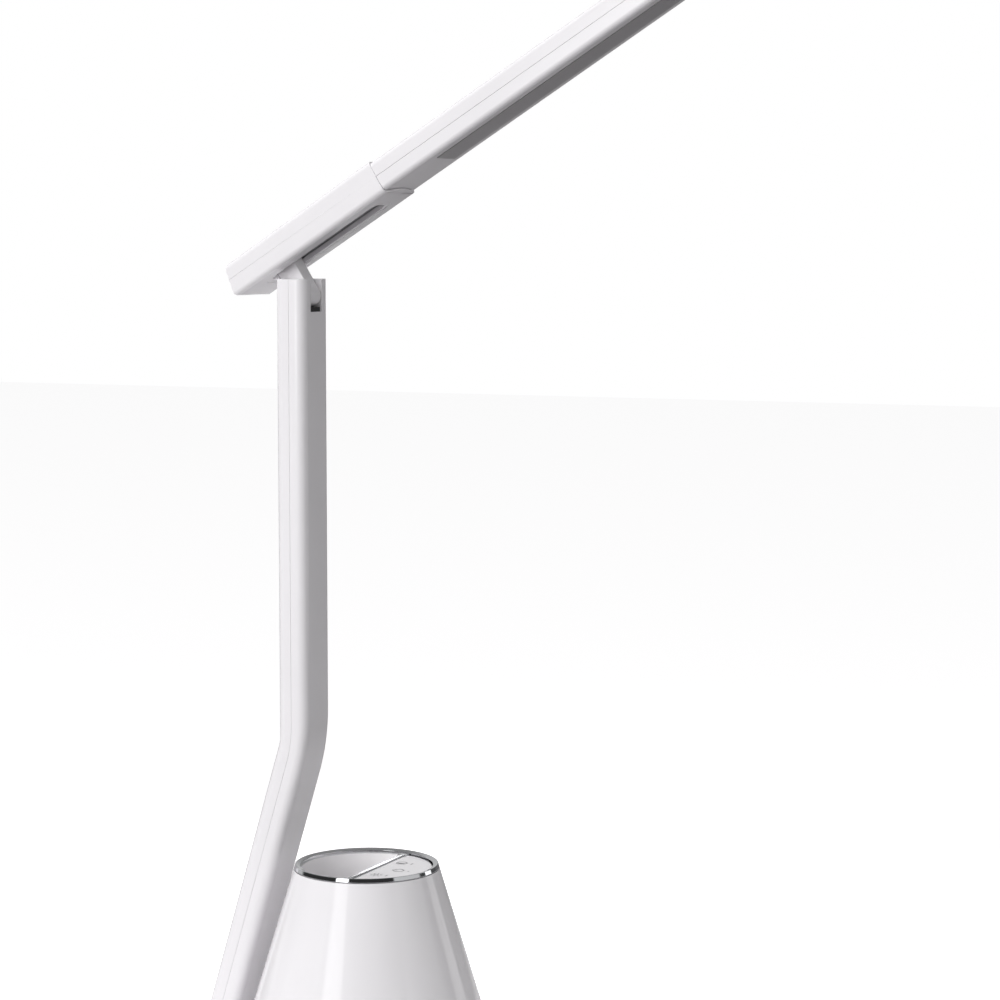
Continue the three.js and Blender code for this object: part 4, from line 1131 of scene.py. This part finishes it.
# Name, place, target, size, watts, spread in degrees, and whether the gloss sees it. The strip
# shows in the cone's right side and the card in the divider's top. The last two stand for light
# that the table throws up at the bar.
LAMP_MIDDLE = (0, 0, 0.3)
LIGHTS = [
    ("left_softbox", (-3.6, 1.0, 1.7), LAMP_MIDDLE, (3.2, 3.6), 160, 180, False),
    ("top_softbox", (0.4, 0.3, 2.4), (0, 0, 0.1), (0.5, 0.5), 0.7, 35, False),
    ("right_strip_light", (1.3, -1.08, 0.75), (0, 0, 0.75), (0.48, 1.5), 2.9, 180, True),
    ("rail_card", (1.738, 0.479, 0.978), (0, 0, 0.129), (0.07, 0.045), 0.021, 180, True),
    ("right_fill", (0.6, -3.2, 1.4), LAMP_MIDDLE, (1.8, 1.8), 6, 180, False),
    ("table_bounce", (0.1, 0.33, 0.01), (0.1, 0.33, 1), (0.36, 0.36), 0.35, 95, False),
    ("tail_bounce", (0.28, 0.25, 0.01), (0, 0.045, 0.425), (0.05, 0.05), 0.0075, 10, False),
]


def floor_material():
    """Pale floor with a painted pool of light, a brighter round patch near the lamp, made evenly white to the
    camera by a glow that only camera rays see.
    """
    material, tree, shader, place = new_material("pale_floor")
    link = tree.links.new
    cloud = add_noise(tree, place, FLOOR_CLOUD_SCALE, FLOOR_CLOUD_DETAIL)
    away = add_node(tree, "ShaderNodeVectorMath", {1: FLOOR_POOL_OF_LIGHT_MIDDLE}, operation="DISTANCE")
    link(place, away.inputs[0])
    uneven = add_share(tree, away.outputs["Value"], cloud, FLOOR_CLOUD)
    # Painted pool of light: bright near the lamp, fading to the floor's own tone further off, with an uneven edge
    pool_of_light = add_ramp(tree, uneven, FLOOR_POOL_OF_LIGHT_REACH, FLOOR_POOL_OF_LIGHT_FADE)
    link(blend_colours(tree, pool_of_light, FLOOR_POOL_OF_LIGHT, FLOOR_DIM), shader.inputs["Base Color"])
    shader.inputs["Roughness"].default_value = FLOOR_ROUGHNESS
    shader.inputs["Specular IOR Level"].default_value = FLOOR_SHEEN
    rays = add_node(tree, "ShaderNodeLightPath")
    shown = add_node(tree, "ShaderNodeMath", {1: FLOOR_SHOWN}, operation="MULTIPLY")
    link(rays.outputs["Is Camera Ray"], shown.inputs[0])
    shader.inputs["Emission Color"].default_value = (1, 1, 1, 1)
    link(shown.outputs["Value"], shader.inputs["Emission Strength"])
    return material


def make_floor():
    bpy.ops.object.select_all(action="DESELECT")
    bpy.ops.mesh.primitive_plane_add(size=FLOOR_SIZE)
    floor = name_piece("studio_floor")
    floor.data.materials.append(floor_material())


def add_area_light(name, place, target, size, watts, spread, in_gloss):
    light = bpy.data.lights.new(name, "AREA")
    light.shape = "RECTANGLE"
    light.size, light.size_y = size
    light.energy = watts
    light.spread = math.radians(spread)
    holder = bpy.data.objects.new(name, light)
    holder.location = place
    holder.rotation_mode = "QUATERNION"
    holder.rotation_quaternion = (Vector(target) - Vector(place)).to_track_quat("-Z", "Y")
    holder.visible_camera = False
    holder.visible_glossy = in_gloss
    bpy.context.scene.collection.objects.link(holder)


def grey(tone):
    return (tone, tone, tone)


def room_stops():
    """The radial gradient runs from 0 at -X, so a half turn is added."""
    return sorted((((azimuth + 180) % 360) / 360, tone) for azimuth, tone in ROOM)


def make_world():
    """White to the camera, even to the lamp, and a dark room with bright walls to its gloss."""
    world = bpy.data.worlds.new("studio")
    bpy.context.scene.world = world
    world.use_nodes = True
    tree = world.node_tree
    link = tree.links.new
    place = add_node(tree, "ShaderNodeTexCoord").outputs["Generated"]
    round_room = add_node(tree, "ShaderNodeTexGradient", gradient_type="RADIAL")
    link(place, round_room.inputs["Vector"])
    walls = add_node(tree, "ShaderNodeValToRGB")
    link(round_room.outputs["Fac"], walls.inputs["Fac"])
    stops = walls.color_ramp.elements
    for position, tone in room_stops():
        stops.new(position).color = (*grey(tone), 1)
    stops.remove(stops[0])
    stops.remove(stops[-1])
    height = add_node(tree, "ShaderNodeSeparateXYZ")
    link(place, height.inputs["Vector"])
    overhead = add_ramp(tree, height.outputs["Z"], CEILING_START, CEILING_FULL)
    room = blend_colours(tree, overhead, walls.outputs["Color"], grey(CEILING_TONE))
    rays = add_node(tree, "ShaderNodeLightPath")
    lit = blend_colours(tree, rays.outputs["Is Glossy Ray"], grey(AMBIENT), room)
    seen = blend_colours(tree, rays.outputs["Is Camera Ray"], lit, grey(1))
    link(seen, tree.nodes["Background"].inputs["Color"])


def make_stage():
    make_world()
    make_floor()
    for light in LIGHTS:
        add_area_light(*light)


def make_camera():
    back = Vector((
        math.sin(CAMERA_AZIMUTH) * math.cos(CAMERA_ELEVATION),
        -math.cos(CAMERA_AZIMUTH) * math.cos(CAMERA_ELEVATION),
        math.sin(CAMERA_ELEVATION),
    ))
    data = bpy.data.cameras.new("photo_camera")
    data.lens = CAMERA_LENS
    data.sensor_width = CAMERA_SENSOR
    data.clip_start, data.clip_end = CAMERA_CLIP
    camera = bpy.data.objects.new("photo_camera", data)
    camera.location = CAMERA_PLACE
    camera.rotation_mode = "QUATERNION"
    camera.rotation_quaternion = back.to_track_quat("Z", "Y")
    bpy.context.scene.collection.objects.link(camera)
    bpy.context.scene.camera = camera
    bpy.context.scene.view_settings.view_transform = "Standard"


make_camera()
make_post()
make_fork_shade_pad()
make_cone()
make_rim()
make_pen_cup()
make_divider()
make_touch_panel()
make_marks()
make_base()
make_lug()
make_tail()
make_head()
make_diffuser()
dress_nodes()
make_stage()
